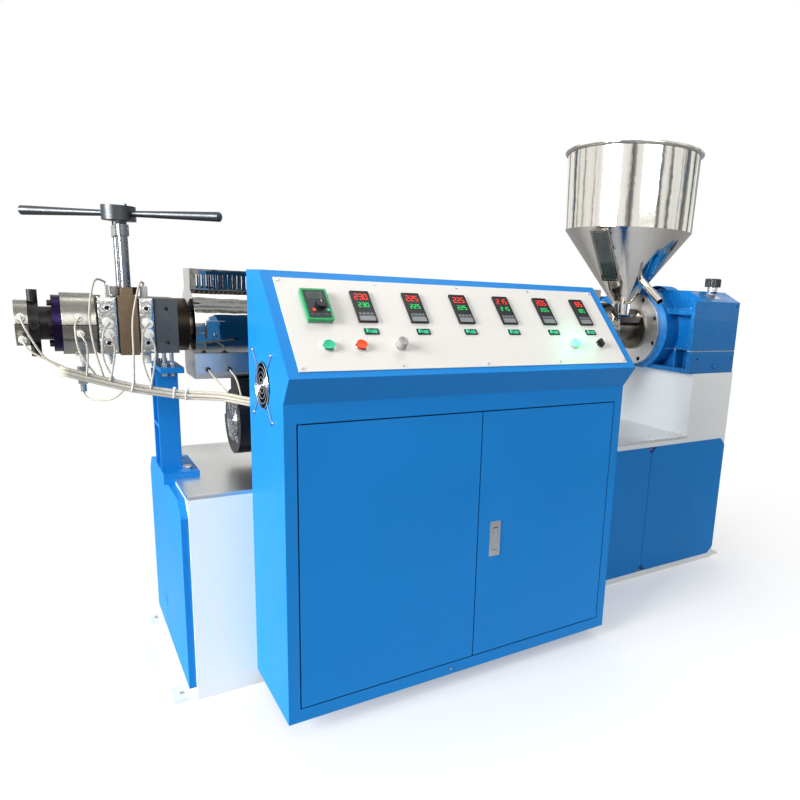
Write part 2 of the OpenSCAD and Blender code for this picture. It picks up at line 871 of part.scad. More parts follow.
// Cabinet shell: folded sheet, open behind the doors and behind the console plate
gland_drop = 114;
gland_z = knee_h - gland_drop;
gland_r = 24;
gland_x = -850;
module cabinet_shell() color(blue_c) {
  difference() {
    along_x(cx0, cx1) cabinet_outline(0);
    along_x(cx0 + cab_sheet, cx1 - cab_sheet) cabinet_outline(cab_sheet);
    at(door_x0, cyf - over, door_low)
      box(door_x1 - door_x0, cab_sheet + 2 * over, door_high - door_low);
    on_slope(plate_side + window_in, plate_low + window_in, -2 * cab_sheet)
      box(cab_w - 2 * plate_side - 2 * window_in, plate_len - 2 * window_in, 4 * cab_sheet);
    on_x(cx0 - over, fan_y, fan_z) rod(fan_bore_r, cab_sheet + 2 * over);
    on_front(gland_x, cyb + over, gland_z) rod(gland_r, cab_sheet + 2 * over);
    at(cx0 + rail_w * 2, cyb - cab_sheet - over, rail_w * 2)
      box(cab_w - rail_w * 4, cab_sheet + 2 * over, panel_high - 4 * rail_w);
    on_front(ground_stud_x, cyf + ground_in, ground_stud_z)
      rod(screw_head_r + run_gap, ground_in + over);
  }
  // pivot blocks of the doors
  for (x = [door_x0 - door_gap, door_x1 + door_gap - pivot_block])
    for (z = [door_low - pivot_block, door_high]) difference() {
        at(x, cyf + eps, z) box(pivot_block, pivot_block, pivot_block);
        at(x < door_mid ? door_x0 + door_gap + pivot_in : door_x1 - door_gap - pivot_in, cyf +
          pivot_in, z - over) rod(pivot_r + run_gap, pivot_block + 2 * over);
      }
}

// A folded door leaf; side is 1 when its pivots are on the right
module leaf(x0, x1, side) {
  w = x1 - x0;
  h = door_high - door_low - 2 * door_gap;
  at(x0, cyf, door_low + door_gap) {
    difference() {
      box(w, door_t, h);
      at(door_skin, door_skin, door_skin)
        box(w - 2 * door_skin, door_t - 2 * door_skin, h - 2 * door_skin);
      at(door_rim, door_skin, door_rim) box(w - 2 * door_rim, door_t, h - 2 * door_rim);
      children();
    }
    for (z = [-pivot_l, h - pivot_l]) at(side ? w - pivot_in : pivot_in, pivot_in, z)
        rod(pivot_r, 2 * pivot_l);
  }
}
module left_door() color(blue_c) leaf(door_x0 + door_gap, door_mid - door_gap / 2, false);
module right_door() color(blue_c) leaf(door_mid + door_gap / 2, door_x1 - door_gap, true)
  at(lock_x - door_mid - door_gap / 2 - lock_w / 2 + lock_rim, -over, lock_z - door_low - door_gap -
    lock_h / 2 + lock_rim) box(lock_w - 2 * lock_rim, door_t + over, lock_h - 2 * lock_rim);

// Flush lock of the right door and its swing lever
lock_rim = 5;
lock_out = 1.5;
lever_pin_z = lock_z - lever_l / 2;
module lock_body() color(bright_c) difference() {
  union() {
    at(lock_x - lock_w / 2, cyf - lock_out, lock_z - lock_h / 2) box(lock_w, lock_out, lock_h);
    at(lock_x - lock_w / 2 + lock_rim, cyf - eps, lock_z - lock_h / 2 + lock_rim)
      box(lock_w - 2 * lock_rim, lock_deep, lock_h - 2 * lock_rim);
  }
  at(lock_x - lever_w / 2 - seat_gap, cyf - lock_out - over, lever_pin_z - lever_t / 2 - seat_gap)
    box(lever_w + 2 * seat_gap, over + lock_out + lever_t + 2 * seat_gap, lever_l + lever_t + 2 *
      seat_gap);
  at(lock_x, cyf - lock_out + lever_t / 2, lever_pin_z) rotate([0, 90, 0])
    cylinder(r = lever_pin_r + run_gap, h = lever_w + 2 * lever_pin_out + 2 * run_gap, center = true);
}
lever_pin_out = 3;
module lock_handle() color(steel_c) {
  at(lock_x - lever_w / 2, cyf - lock_out, lever_pin_z) box(lever_w, lever_t, lever_l);
  at(lock_x, cyf - lock_out + lever_t / 2, lever_pin_z) rotate([0, 90, 0]) {
    cylinder(r = lever_t / 2, h = lever_w, center = true);
    cylinder(r = lever_pin_r, h = lever_w + 2 * lever_pin_out, center = true);
  }
}

// Console plate with all its cut-outs
hole_fit = 0.1;
bezel_hole_r = 13;
pad_hole = 30;
module console_panel() color(white_c) on_slope(0, 0) difference() {
  at(plate_side, plate_low, 0) box(cab_w - 2 * plate_side, plate_len, plate_t);
  for (i = [0 : 5]) {
    at(ctrl_x + i * ctrl_pitch - ctrl_w / 2 + ctrl_in - hole_fit, ctrl_s - ctrl_h / 2 + ctrl_in -
      hole_fit, -over)
      box(ctrl_w - 2 * ctrl_in + 2 * hole_fit, ctrl_h - 2 * ctrl_in + 2 * hole_fit, plate_t + 2 * over);
    at(ctrl_x + i * ctrl_pitch - rocker_box_w / 2 - hole_fit, row_s - rocker_box_h / 2 - hole_fit,
      -over) box(rocker_box_w + 2 * hole_fit, rocker_box_h + 2 * hole_fit, plate_t + 2 * over);
  }
  for (x = [start_x, stop_x, knob_x, lamp_x, selector_x]) at(x, button_s, -over)
    rod(bezel_hole_r + hole_fit, plate_t + 2 * over);
  at(pad_x - pad_hole / 2, pad_s - pad_hole / 2, -over) box(pad_hole, pad_hole, plate_t + 2 * over);
}
rocker_box_w = 33;
rocker_box_h = 15;

// Keypad of the screw drive
module keypad() color("#2f7a4a") on_slope(pad_x, pad_s, plate_t) difference() {
  union() {
    linear_extrude(height = pad_out) offset(r = pad_corner)
      square([pad_w - 2 * pad_corner, pad_h - 2 * pad_corner], center = true);
    at(-pad_hole / 2 + hole_fit, -pad_hole / 2 + hole_fit, -pad_out)
      box(pad_hole - 2 * hole_fit, pad_hole - 2 * hole_fit, pad_out + eps);
  }
  at(dial_x, dial_s, pad_out - dial_deep) rod(spindle_r + run_gap, dial_deep + over);
  for (x = [run_key_x, stop_key_x]) at(x, key_s, pad_out - dial_deep)
    rod(key_r + run_gap, dial_deep + over);
}
dial_deep = 8;
dial_h = 9;
key_out = 2;
module keypad_dial() color(dark_c)
  on_slope(pad_x + dial_x, pad_s + dial_s, plate_t + pad_out + knob_air) {
    rod(dial_r, dial_h);
    at(0, 0, -dial_deep + 1) rod(spindle_r, dial_deep);
  }
module key(x) on_slope(pad_x + x, pad_s + key_s, plate_t + pad_out - dial_deep + key_travel + knob_air)
  rod(key_r, dial_deep - knob_air + key_out - key_travel);
module run_key() color("#2fb860") key(stop_key_x);
module stop_key() color("#d8362c") key(run_key_x);

// Six temperature controllers
display_in = 3;
module controllers() color(dark_c) for (i = [0 : 5])
  on_slope(ctrl_x + i * ctrl_pitch, ctrl_s, plate_t) difference() {
    union() {
      at(-ctrl_w / 2, -ctrl_h / 2, 0) box(ctrl_w, ctrl_h, ctrl_bezel_t);
      at(-ctrl_w / 2 + ctrl_in, -ctrl_h / 2 + ctrl_in, -ctrl_body)
        box(ctrl_w - 2 * ctrl_in, ctrl_h - 2 * ctrl_in, ctrl_body + eps);
    }
    at(-ctrl_w / 2 + display_in, -ctrl_h / 2 + display_in, ctrl_bezel_t - display_rec)
      box(ctrl_w - 2 * display_in, ctrl_h - 2 * display_in, display_rec + over);
  }
display_rec = 1;

// Bezels of the buttons, knobs and rocker switches; the lamp's lens is fixed in its bezel
module operator_bezels() color(bright_c) {
  for (x = [start_x, stop_x]) on_slope(x, button_s, plate_t) difference() {
    union() {
      rod(bezel_r, bezel_t);
      at(0, 0, -bezel_body) rod(bezel_hole_r, bezel_body + eps);
    }
    at(0, 0, -bezel_body + over) rod(button_r + run_gap, 2 * bezel_body);
  }
  for (x = [knob_x, selector_x]) on_slope(x, button_s, plate_t) difference() {
    union() {
      rod(bezel_r, bezel_t);
      at(0, 0, -bezel_body) rod(bezel_hole_r, bezel_body + eps);
    }
    at(0, 0, -bezel_body + over) rod(spindle_r + run_gap, 2 * bezel_body);
  }
  on_slope(lamp_x, button_s, plate_t) {
    rod(bezel_r, bezel_t);
    at(0, 0, -bezel_body) rod(bezel_hole_r, bezel_body + cap_out + bezel_t);
  }
  for (i = [0 : 5]) on_slope(ctrl_x + i * ctrl_pitch, row_s, plate_t) difference() {
    union() {
      at(-rocker_frame_w / 2, -rocker_frame_h / 2, 0) box(rocker_frame_w, rocker_frame_h, rocker_lip_t);
      at(-rocker_box_w / 2, -rocker_box_h / 2, -rocker_depth)
        box(rocker_box_w, rocker_box_h, rocker_depth + eps);
    }
    at(-rocker_w / 2 - seat_gap, -rocker_h / 2 - seat_gap, -rocker_depth + over)
      box(rocker_w + 2 * seat_gap, rocker_h + 2 * seat_gap, 2 * rocker_depth);
    at(0, 0, rocker_pin_z) rotate([90, 0, 0])
      cylinder(r = rocker_pin_r + run_gap, h = rocker_h + 2 * rocker_pin_out + 2 * run_gap,
        center = true);
  }
}
rocker_pin_out = 1.3;
rocker_pin_z = -1;
rocker_top = 5.5;
rocker_dip = 2.6;
rocker_base = 5;
module rocker(i) color("#2f9a52") on_slope(ctrl_x + i * ctrl_pitch, row_s, plate_t + rocker_pin_z)
  rotate([0, rocker_tip, 0]) {
    intersection() {
      rotate([90, 0, 0]) cylinder(r = rocker_w / 2, h = rocker_h, center = true);
      rotate([90, 0, 0]) linear_extrude(height = rocker_h, center = true) polygon([
        [-rocker_w / 2, -rocker_base], [rocker_w / 2, -rocker_base],
        [rocker_w / 2, rocker_top], [0, rocker_dip], [-rocker_w / 2, rocker_top]]);
    }
    rotate([90, 0, 0]) cylinder(r = rocker_pin_r, h = rocker_h + 2 * rocker_pin_out, center = true);
  }
module rocker_1() rocker(0);
module rocker_2() rocker(1);
module rocker_3() rocker(2);
module rocker_4() rocker(3);
module rocker_5() rocker(4);
module rocker_6() rocker(5);

module cap(x) on_slope(x, button_s, plate_t - cap_in) rod(button_r, cap_in + cap_out);
module start_button() color("#27a24c") cap(start_x);
module stop_button() color("#d5372e") cap(stop_x);

module speed_knob() color("#b9b7b0") on_slope(knob_x, button_s, plate_t + bezel_t + knob_air) {
  cylinder(r1 = knob_r, r2 = knob_r - knob_taper, h = knob_t);
  at(0, 0, -spindle_l) rod(spindle_r, spindle_l + eps);
}
knob_taper = 2;
grip_w = 8;
grip_h = 12;
module selector_knob() color(dark_c) on_slope(selector_x, button_s, plate_t + bezel_t + knob_air) {
  rod(knob_out, knob_taper * 2);
  at(-grip_w / 2, -knob_out + over, 0) box(grip_w, 2 * knob_out - 2 * over, grip_h);
  at(0, 0, -spindle_l) rod(spindle_r, spindle_l + eps);
}

// Axial fan of the cabinet with its wire guard, and the casing of the barrel blower
wire_rings = [14, 26, 38, 50];
spoke_n = 8;
scroll_n = 36;
function scroll(a, r0, grow) = r0 + grow * a / 360;
module scroll_shape(r0, grow) polygon([for (i = [0 : scroll_n])
  let (a = i * 360 / scroll_n, r = scroll(a, r0, grow)) [r * cos(a + 90), r * sin(a + 90)]]);
scroll_grow = blower_r * blower_grow_share;
module fan_housings() color(dark_c) {
  on_x(cx0 + cab_sheet, fan_y, fan_z) difference() {
    at(-fan_side / 2, -fan_side / 2, 0) box(fan_side, fan_side, fan_t);
    at(0, 0, -over) difference() {
      rod(fan_bore_r, fan_t + 2 * over);
      at(0, 0, fan_t - fan_spider + over) rod(fan_hub_r, fan_spider);
      for (a = [0 : 90 : 270]) rotate([0, 0, a + 45]) at(0, -fan_spider / 2, fan_t - fan_spider + over)
          box(fan_bore_r + over, fan_spider, fan_spider);
    }
    at(0, 0, fan_t - fan_spider - over) rod(fan_pin_r + run_gap, fan_spider + 2 * over);
  }
  // wire guard
  on_x(cx0 - 2 * wire_r, fan_y, fan_z) {
    for (r = wire_rings) rotate_extrude() translate([r, 0]) circle(r = wire_r, $fn = 16);
    for (a = [0 : 360 / spoke_n : 359]) rotate([0, 0, a]) at(wire_rings[0], 0, 0)
      rotate([0, 90, 0]) cylinder(r = wire_r, h = wire_rings[3] - wire_rings[0], $fn = 16);
    for (a = [45 : 90 : 315]) rotate([0, 0, a]) at(wire_rings[3], 0, 0)
      rotate([0, 90, 0]) cylinder(r = wire_r, h = fan_lug_r * sqrt(2) - wire_rings[3], $fn = 16);
  }
  for (y = [-fan_lug_r, fan_lug_r]) for (z = [-fan_lug_r, fan_lug_r])
    on_x(cx0 - fan_lug_t, fan_y + y, fan_z + z) rod(fan_lug_size, fan_lug_t);
  // blower casing
  on_x(blower_x, 0, blower_z) {
    difference() {
      linear_extrude(height = blower_w) scroll_shape(blower_r - scroll_grow, scroll_grow);
      at(0, 0, blower_sheet) linear_extrude(height = blower_w - 2 * blower_sheet)
        scroll_shape(blower_r - scroll_grow - blower_sheet, scroll_grow);
      at(0, 0, -over) rod(blower_eye_r, blower_sheet + 2 * over);
      at(0, 0, blower_w - blower_sheet - over) rod(blower_shaft_r + run_gap, blower_sheet + 2 * over);
      at(-blower_r - over, blower_neck_y + blower_sheet, blower_sheet)
        box(blower_r, blower_neck_w - 2 * blower_sheet, blower_w - 2 * blower_sheet);
    }
    // outlet neck rising to the lower box
    difference() {
      at(-neck_top, blower_neck_y, 0) box(neck_top - neck_base, blower_neck_w, blower_w);
      at(-neck_top - over, blower_neck_y + blower_sheet, blower_sheet)
        box(neck_top + over, blower_neck_w - 2 * blower_sheet, blower_w - 2 * blower_sheet);
      rod(blower_r - scroll_grow - blower_sheet, blower_w + over);
      at(0, 0, -over) rod(blower_r - scroll_grow - blower_sheet, blower_w);
    }
    for (r = blower_rings) rotate_extrude() translate([r, 0]) circle(r = wire_r, $fn = 16);
    for (a = [0 : 360 / spoke_n : 359]) rotate([0, 0, a]) at(blower_rings[0], 0, 0) rotate([0, 90, 0])
        cylinder(r = wire_r, h = blower_eye_r + 2 * wire_r - blower_rings[0], $fn = 16);
  }
  // motor of the blower and its foot on the deck
  on_x(blower_x + blower_w, 0, blower_z) difference() {
    rod(blower_motor_r, blower_motor_l);
    at(0, 0, -over) rod(blower_shaft_r + run_gap, blower_motor_l / 2);
  }
  at(blower_x + blower_w + foot_t * 2, -blower_motor_r, deck_h)
    box(blower_motor_l / 2, 2 * blower_motor_r, foot_t);
  at(blower_x + blower_w + foot_t * 2, -foot_t, deck_h)
    box(blower_motor_l / 2, 2 * foot_t, blower_z - deck_h - blower_motor_r + over);
}
fan_spider = 5;
fan_pin_r = 3;
fan_lug_size = 6;
blower_rings = [18, 30, 42, 54];
blower_neck_y = -78;
neck_base = 52;
neck_top = axis_h - trough_low - blower_z;

module fan_rotor() color(dark_c) on_x(cx0 + cab_sheet, fan_y, fan_z) {
  at(0, 0, fan_spider) {
    rod(fan_hub_r, fan_t - 2 * fan_spider - wheel_air / 2);
    for (a = [0 : 360 / fan_blades : 359]) rotate([0, 0, a])
      at(fan_hub_r - over, 0, (fan_t - 2 * fan_spider) / 2) rotate([fan_pitch, 0, 0])
          at(0, -blade_t / 2, -blade_half) box(fan_bore_r - fan_hub_r - over, blade_t, 2 * blade_half);
  }
  rod(fan_pin_r, fan_t - over);
}
fan_blades = 7;
fan_pitch = 50;
blade_half = 10;

module blower_wheel() color(steel_c) on_x(blower_x, 0, blower_z) {
  difference() {
    at(0, 0, wheel_air + blower_sheet) {
      rod(wheel_r, blower_w - 2 * wheel_air - 2 * blower_sheet);
    }
    at(0, 0, 0) rod(wheel_r - blade_d, blower_w - wheel_air - blower_sheet - wheel_plate_t);
    for (a = [0 : 360 / wheel_blades : 359]) rotate([0, 0, a])
      at(wheel_r - blade_d - over, -wheel_gap / 2, wheel_air + blower_sheet + wheel_ring_t)
        box(blade_d + 2 * over, wheel_gap, blower_w - 2 * wheel_air - 2 * blower_sheet -
          wheel_ring_t - wheel_plate_t);
  }
  at(0, 0, blower_w / 3) rod(blower_shaft_r, blower_w * 2 / 3 + blower_motor_l / 3);
}
wheel_gap = 17;

// Back plate and switchgear inside the cabinet
module cabinet_equipment() color("#c9ccd0") {
  x0 = cx0 + gear_plate_x0;
  w = cab_w - 2 * gear_plate_x0;
  yb = cyb - cab_sheet - gear_plate_off;
  at(x0, yb - gear_plate_t, gear_plate_low) box(w, gear_plate_t, gear_plate_high - gear_plate_low);
  for (x = [x0 + gear_plate_off, x0 + w - 2 * gear_plate_off])
    for (z = [gear_plate_low + gear_plate_off, gear_plate_high - 2 * gear_plate_off])
      at(x, yb - eps, z) box(gear_plate_off, gear_plate_off + eps, gear_plate_off);
  yf = yb - gear_plate_t;
  at(x0 + duct_w * 1.5, yf - drive_d, gear_plate_low + drive_h) box(drive_w, drive_d, drive_h);
  for (z = [gear_plate_low + duct_w / 2, (gear_plate_low + gear_plate_high) / 2,
    gear_plate_high - duct_w * 1.5]) at(x0 + drive_w + 3 * duct_w, yf - duct_d, z)
      box(w - drive_w - 4 * duct_w, duct_d, duct_w);
  for (i = [0 : contactor_n - 1])
    at(x0 + drive_w + 3.5 * duct_w + i * contactor_w * 1.6, yf - contactor_d, gear_plate_high -
      duct_w * 2 - contactor_h - drive_in) box(contactor_w, contactor_d, contactor_h);
  at(x0 + drive_w + 4 * duct_w, yf - breaker_d, gear_plate_low + duct_w * 2)
    box(breaker_w, breaker_d, breaker_h);
}
drive_in = 30;

// Heater blocks of the head with their stainless side plates
module heater_block(x, l) difference() {
  union() {
    block(x, l, block_s - 2 * plate_t_heat);
    for (s = [-1, 1]) at(x + plate_in, s * (block_s / 2 - plate_t_heat / 2) - plate_t_heat / 2 - s *
      eps, axis_h - block_s / 2 + plate_t_heat - plate_drop)
      box(l - 2 * plate_in, plate_t_heat, block_s - 2 * plate_t_heat + 2 * plate_drop);
  }
  on_axis(x - over) rod(melt_r, l + 2 * over);
  for (s = [-1, 1]) for (z = [-1, 1])
    at(x + l / 2, s * (block_s / 2 - heat_hole_deep), axis_h + z * heat_hole_off)
      rotate([-s * 90, 0, 0]) rod(heat_hole_r, heat_hole_deep + over);
}
plate_drop = 1;
heat_hole_off = 44;
heat_hole_deep = 12;
module head_blocks() color(dark_c) {
  heater_block(block_a_x, heater_a_l);
  heater_block(block_b_x, heater_b_l);
}

// Band heaters of the head and die, and the finned heaters of the barrel zones
band_split = 2;
module band(x, l, r, bore) difference() {
  on_axis(x) tube(r, bore, l);
  at(x - over, -r - over, axis_h - band_split / 2) box(l + 2 * over, r - bore + 3 * over, band_split);
  at(x - over, bore - 2 * over, axis_h - band_split / 2)
    box(l + 2 * over, r - bore + 3 * over, band_split);
}
module heaters() color(bright_c) {
  band(band_x + eps, band_l - 2 * eps, band_r, head_core_r);
  band(die_x, die_end_l - seat_gap, die_heater_r, die_r);
  for (i = [0 : zone_n - 1]) difference() {
    union() {
      on_axis(zone_x + i * zone_pitch) tube(heater_in_r, barrel_r, zone_l);
      for (j = [0 : fin_n - 1]) on_axis(zone_x + i * zone_pitch + j * (zone_l - fin_t) / (fin_n - 1))
          tube(heater_r, barrel_r, fin_t);
    }
    at(zone_x + i * zone_pitch - over, -heater_r - over, axis_h - band_split / 2)
      box(zone_l + 2 * over, heater_r - barrel_r + 2 * over, band_split);
  }
}

// White ceramic terminals of the heaters and the sleeve of the melt sensor
module ceramic_terminals() color("#f1efe8") {
  for (x = [block_a_x + heater_a_l / 2, block_b_x + heater_b_l / 2]) {
    for (s = [-1, 1]) for (z = [-terminal_step / 2, terminal_step / 2])
      at(x, s * (block_s / 2 - eps), axis_h + z - terminal_rise) rotate([-s * 90, 0, 0])
        rod(terminal_r, terminal_l);
    for (s = [0, 180]) at(x, -terminal_front, axis_h) rotate([s, 0, 0])
      at(0, 0, block_s / 2 - plate_t_heat) rod(top_terminal_r, top_terminal_l);
  }
  difference() {
    for (z = [-band_terminal, band_terminal]) on_front(band_x + band_l / 2, -band_front, axis_h + z)
        rod(top_terminal_r, top_terminal_l / 2);
    on_axis(band_x) rod(band_r, band_l);
  }
  difference() {
    for (z = [die_terminal, -die_terminal * 2])
      on_front(die_x + die_end_l / 2, -die_front, axis_h + z) rod(top_terminal_r, top_terminal_l);
    on_axis(die_x - over) rod(die_heater_r, die_end_l + over);
    on_axis(ring_x - over) rod(ring_r, die_ring_l + 2 * over);
  }
  at(sensor_x, 0, axis_h - band_r - sensor_sleeve_l) rod(sensor_sleeve_r, sensor_sleeve_l);
}
terminal_front = 40;
band_terminal = 20;
band_front = 70;
die_terminal = 18;
die_front = 42;

// Body of the slide plate screen changer, with the bosses of its columns
module changer_body() color(brown_c) difference() {
  union() {
    block(changer_x, changer_l, block_s);
    for (y = [-column_y, column_y])
      at(changer_mid - boss_w / 2, y - boss_d / 2, axis_h + block_s / 2 - eps)
        box(boss_w, boss_d, boss_h + eps);
  }
  on_axis(changer_x - over) rod(melt_r, changer_l + 2 * over);
  at(changer_mid - slide_t / 2 - run_gap, -slide_w / 2 - run_gap, axis_h + slide_low - run_gap)
    box(slide_t + 2 * run_gap, slide_w + 2 * run_gap, block_s);
}

// Slide with its head and the two breaker plates' seat
function hex_dots(n, p) = [for (i = [-n : n]) for (j = [-n : n])
  let (x = (i + j / 2) * p, y = j * p * sin(60)) if (norm([x, y]) <= n * p * 0.9) [x, y]];
module screen_slide() color(dark_c) {
  difference() {
    union() {
      at(changer_mid - slide_t / 2, -slide_w / 2, axis_h + slide_low)
        box(slide_t, slide_w, slide_neck - slide_low + collar_air + eps);
      at(changer_mid, 0, axis_h + slide_neck + collar_air) rotate([0, 0, 22.5])
        cylinder(r = collar_r, h = collar_h, $fn = 8);
    }
    on_axis(changer_mid - slide_t) rod(slide_bore_r, slide_t * 2);
    at(changer_mid, 0, axis_h + slide_neck + collar_air + collar_h - journal_h) {
      rod(journal_r + run_gap, journal_h + over);
      at(0, 0, -run_gap) rod(journal_r + journal_step + run_gap, journal_foot + 2 * run_gap);
    }
  }
  difference() {
    on_axis(changer_mid - breaker_t / 2) rod(slide_bore_r, breaker_t);
    for (p = hex_dots(3, breaker_ring)) on_x(changer_mid - breaker_t, p[0], axis_h + p[1])
      rod(breaker_hole_r, 2 * breaker_t);
  }
}
journal_step = 3;
journal_foot = 4;

module lift_frame() color(dark_c) {
  for (y = [-column_y, column_y]) at(changer_mid, y, axis_h + block_s / 2 + boss_h)
    rod(column_d / 2, crosshead_rise - block_s / 2 - boss_h + eps);
  difference() {
    at(changer_mid, 0, axis_h + crosshead_rise) {
      at(-crosshead_w / 2, -crosshead_len / 2 + crosshead_w / 2, 0)
        box(crosshead_w, crosshead_len - crosshead_w, crosshead_h);
      for (s = [-1, 1]) at(0, s * (crosshead_len - crosshead_w) / 2, 0)
        rod(crosshead_w / 2, crosshead_h);
    }
    at(changer_mid, 0, axis_h + crosshead_rise - over)
      rod(lift_d / 2 + run_gap, crosshead_h + 2 * over);
  }
}

// Lifting screw with its thread grooves and the captive journal at its foot
module lift_screw() color(steel_c) {
  z0 = axis_h + slide_neck + collar_air + collar_h;
  h = hub_z + hub_h - z0;
  at(changer_mid, 0, z0 - journal_h) {
    rod(journal_r, journal_h + over);
    rod(journal_r + journal_step, journal_foot);
  }
  at(changer_mid, 0, z0) rotate_extrude() polygon(concat([[0, collar_air]],
    [for (i = [0 : floor((h - hub_h - over) / thread_pitch)])
      for (k = [0, 1, 2]) let (z = collar_air + i * thread_pitch + k * thread_pitch / 3)
        if (z < h - hub_h) [lift_d / 2 - (k == 0 ? thread_deep : 0), z]],
    [[lift_d / 2 - thread_deep, h - hub_h], [lift_d / 2, h - hub_h + 1], [lift_d / 2, h], [0, h]]));
}

module handle() color(dark_c) at(changer_mid, 0, hub_z) rotate([0, 0, handle_angle]) {
  difference() {
    union() {
      rod(hub_r, hub_h);
      at(0, 0, run_gap - hub_lift) rod(nut_boss_r, hub_lift);
    }
    at(0, 0, -hub_lift - over) rod(lift_d / 2 + run_gap, hub_lift + hub_h + 2 * over);
  }
  for (a = [0, 180]) rotate([0, 0, a]) at(hub_r - over, 0, hub_h / 2) rotate([0, 90, 0]) {
      cylinder(r1 = bar_r0, r2 = bar_r1, h = handle_reach - hub_r - bar_chamfer + over);
      at(0, 0, handle_reach - hub_r - bar_chamfer + over)
        cylinder(r1 = bar_r1, r2 = bar_r1 - bar_chamfer, h = bar_chamfer);
    }
  at(hub_r / 2, 0, hub_h) rod(set_screw_r, set_screw_h);
}
press_gap = 0.01;

// Adapter block between the changer and the barrel
module head_adapter() color(dark_c) difference() {
  block(adapter_x, adapter_l, adapter_s);
  on_axis(adapter_x - over) rod(melt_r, adapter_l + 2 * over);
  on_axis(head_x - adapter_l / 2) cylinder(r1 = melt_r, r2 = bore_r + screw_gap, h = adapter_l / 2 +
    eps);
  for (s = [-1, 1]) for (z = [-1, 1])
    at(adapter_x + adapter_l / 2, s * (adapter_s / 2 - heat_hole_deep), axis_h + z * heat_hole_off)
      rotate([-s * 90, 0, 0]) rod(heat_hole_r, heat_hole_deep + over);
}

module die_flange() color(purple_c) difference() {
  union() {
    on_axis(die_flange_x) rod(die_flange_r, die_flange_l);
    on_axis(die_flange_x) rod(head_core_r, block_a_x - die_flange_x);
  }
  on_axis(die_flange_x - over)
    cylinder(r1 = outlet_r + 2, r2 = melt_r, h = block_a_x - die_flange_x + 2 * over);
}

module die_body() color(dark_c) difference() {
  union() {
    on_axis(neck_x) rod(neck_r_die, die_neck_l);
    on_axis(ring_x) rod(ring_r, die_ring_l);
    on_axis(die_x) rod(die_r, die_end_l + eps);
  }
  on_axis(die_x - over) rod(outlet_r, die_flange_x - die_x + 2 * over);
}

// Heater cables: round tubes swept along chosen points
function lerp3(a, b, t) = a + (b - a) * t;
function ring_pts(p, d, r, n) =
  let (w = d / norm(d), u0 = cross(w, abs(w[2]) < 0.9 ? [0, 0, 1] : [1, 0, 0]),
    u = u0 / norm(u0), v = cross(w, u))
  [for (k = [0 : n - 1]) p + r * (cos(k * 360 / n) * u + sin(k * 360 / n) * v)];
function catmull(p, i, t) =
  let (a = p[max(i - 1, 0)], b = p[i], c = p[i + 1], d = p[min(i + 2, len(p) - 1)])
  0.5 * (2 * b + (c - a) * t + (2 * a - 5 * b + 4 * c - d) * t * t
    + (3 * b - a - 3 * c + d) * t * t * t);
function smooth(p, m) = concat([for (i = [0 : len(p) - 2]) for (k = [0 : m - 1]) catmull(p, i, k / m)],
  [p[len(p) - 1]]);
module wire(route, r, m = 4, n = 6) {
  q = smooth(route, m);
  c = len(q);
  rings = [for (i = [0 : c - 1]) ring_pts(q[i], q[min(i + 1, c - 1)] - q[max(i - 1, 0)], r, n)];
  polyhedron(points = [for (g = rings) for (p = g) p], faces = concat([[for (k = [0 : n - 1]) k]],
      [for (i = [0 : c - 2]) for (k = [0 : n - 1])
        [i * n + k, (i + 1) * n + (k + 1) % n, i * n + (k + 1) % n]],
      [for (i = [0 : c - 2]) for (k = [0 : n - 1])
        [i * n + k, (i + 1) * n + k, (i + 1) * n + (k + 1) % n]],
      [[for (k = [n - 1 : -1 : 0]) (c - 1) * n + k]]));
}
bundle = [[-1300, -112, 872], [-1205, -118, 842], [-1137, -128, 824], [-1036, -146, 806],
  [-952, -190, 804], [-895, -240, 796], [-850, -278, 790], [-850, -330, 788]];
module heater_cables() color("#d9d6cc") {
  for (t = tie_places) let (i = floor(t), p = catmull(bundle, i, t - i), d = bundle[i + 1] - bundle[i],
      u = cross(d, [0, 0, 1]) / norm(cross(d, [0, 0, 1])), v = cross(d, u) / norm(d), w = d / norm(d))
    multmatrix([[u[0], v[0], w[0], p[0]], [u[1], v[1], w[1], p[1]], [u[2], v[2], w[2], p[2]]])
      at(0, 0, -tie_w / 2) rod(cable_r * (bundle_spread + 1) + tie_t, tie_w, tie_sides);
  for (k = [0 : bundle_n - 1]) wire(bundle_cable(k), cable_r, 3);
  for (q = leads) wire(concat([q[1] + q[0] * lead_bury], [q[1] - q[0] * stub],
    [q[1] - q[0] * 2 * stub], [for (i = [4 : len(q) - 1]) q[i]],
    [catmull(bundle_cable(q[2]), floor(q[3]), q[3] - floor(q[3]))]), lead_r, 3);
}
bundle_n = 5;
bundle_spread = 1.8;
tie_places = [1.85, 2.8, 3.1, 5.3];
tie_w = 4;
tie_t = 0.6;
tie_sides = 15;
stub = 4;
lead_bury = 0;
// One cable of the bundle, shifted round the common route
function bundle_cable(k) = [for (i = [0 : len(bundle) - 1])
  let (d = bundle[min(i + 1, len(bundle) - 1)] - bundle[max(i - 1, 0)],
    e = cross(d, [0, 0, 1]) / norm(cross(d, [0, 0, 1])))
  bundle[i] + cable_r * bundle_spread
    * (e * cos(k * 360 / bundle_n) + [0, 0, sin(k * 360 / bundle_n)])];
side_tip = -block_s / 2 - terminal_l + eps;
knob_high = axis_h + terminal_step / 2 - terminal_rise;
knob_low = axis_h - terminal_step / 2 - terminal_rise;
top_tip = axis_h + block_s / 2 - plate_t_heat + top_terminal_l;
sensor_end = axis_h - band_r - sensor_sleeve_l - sensor_hex_l - sensor_tip_l;
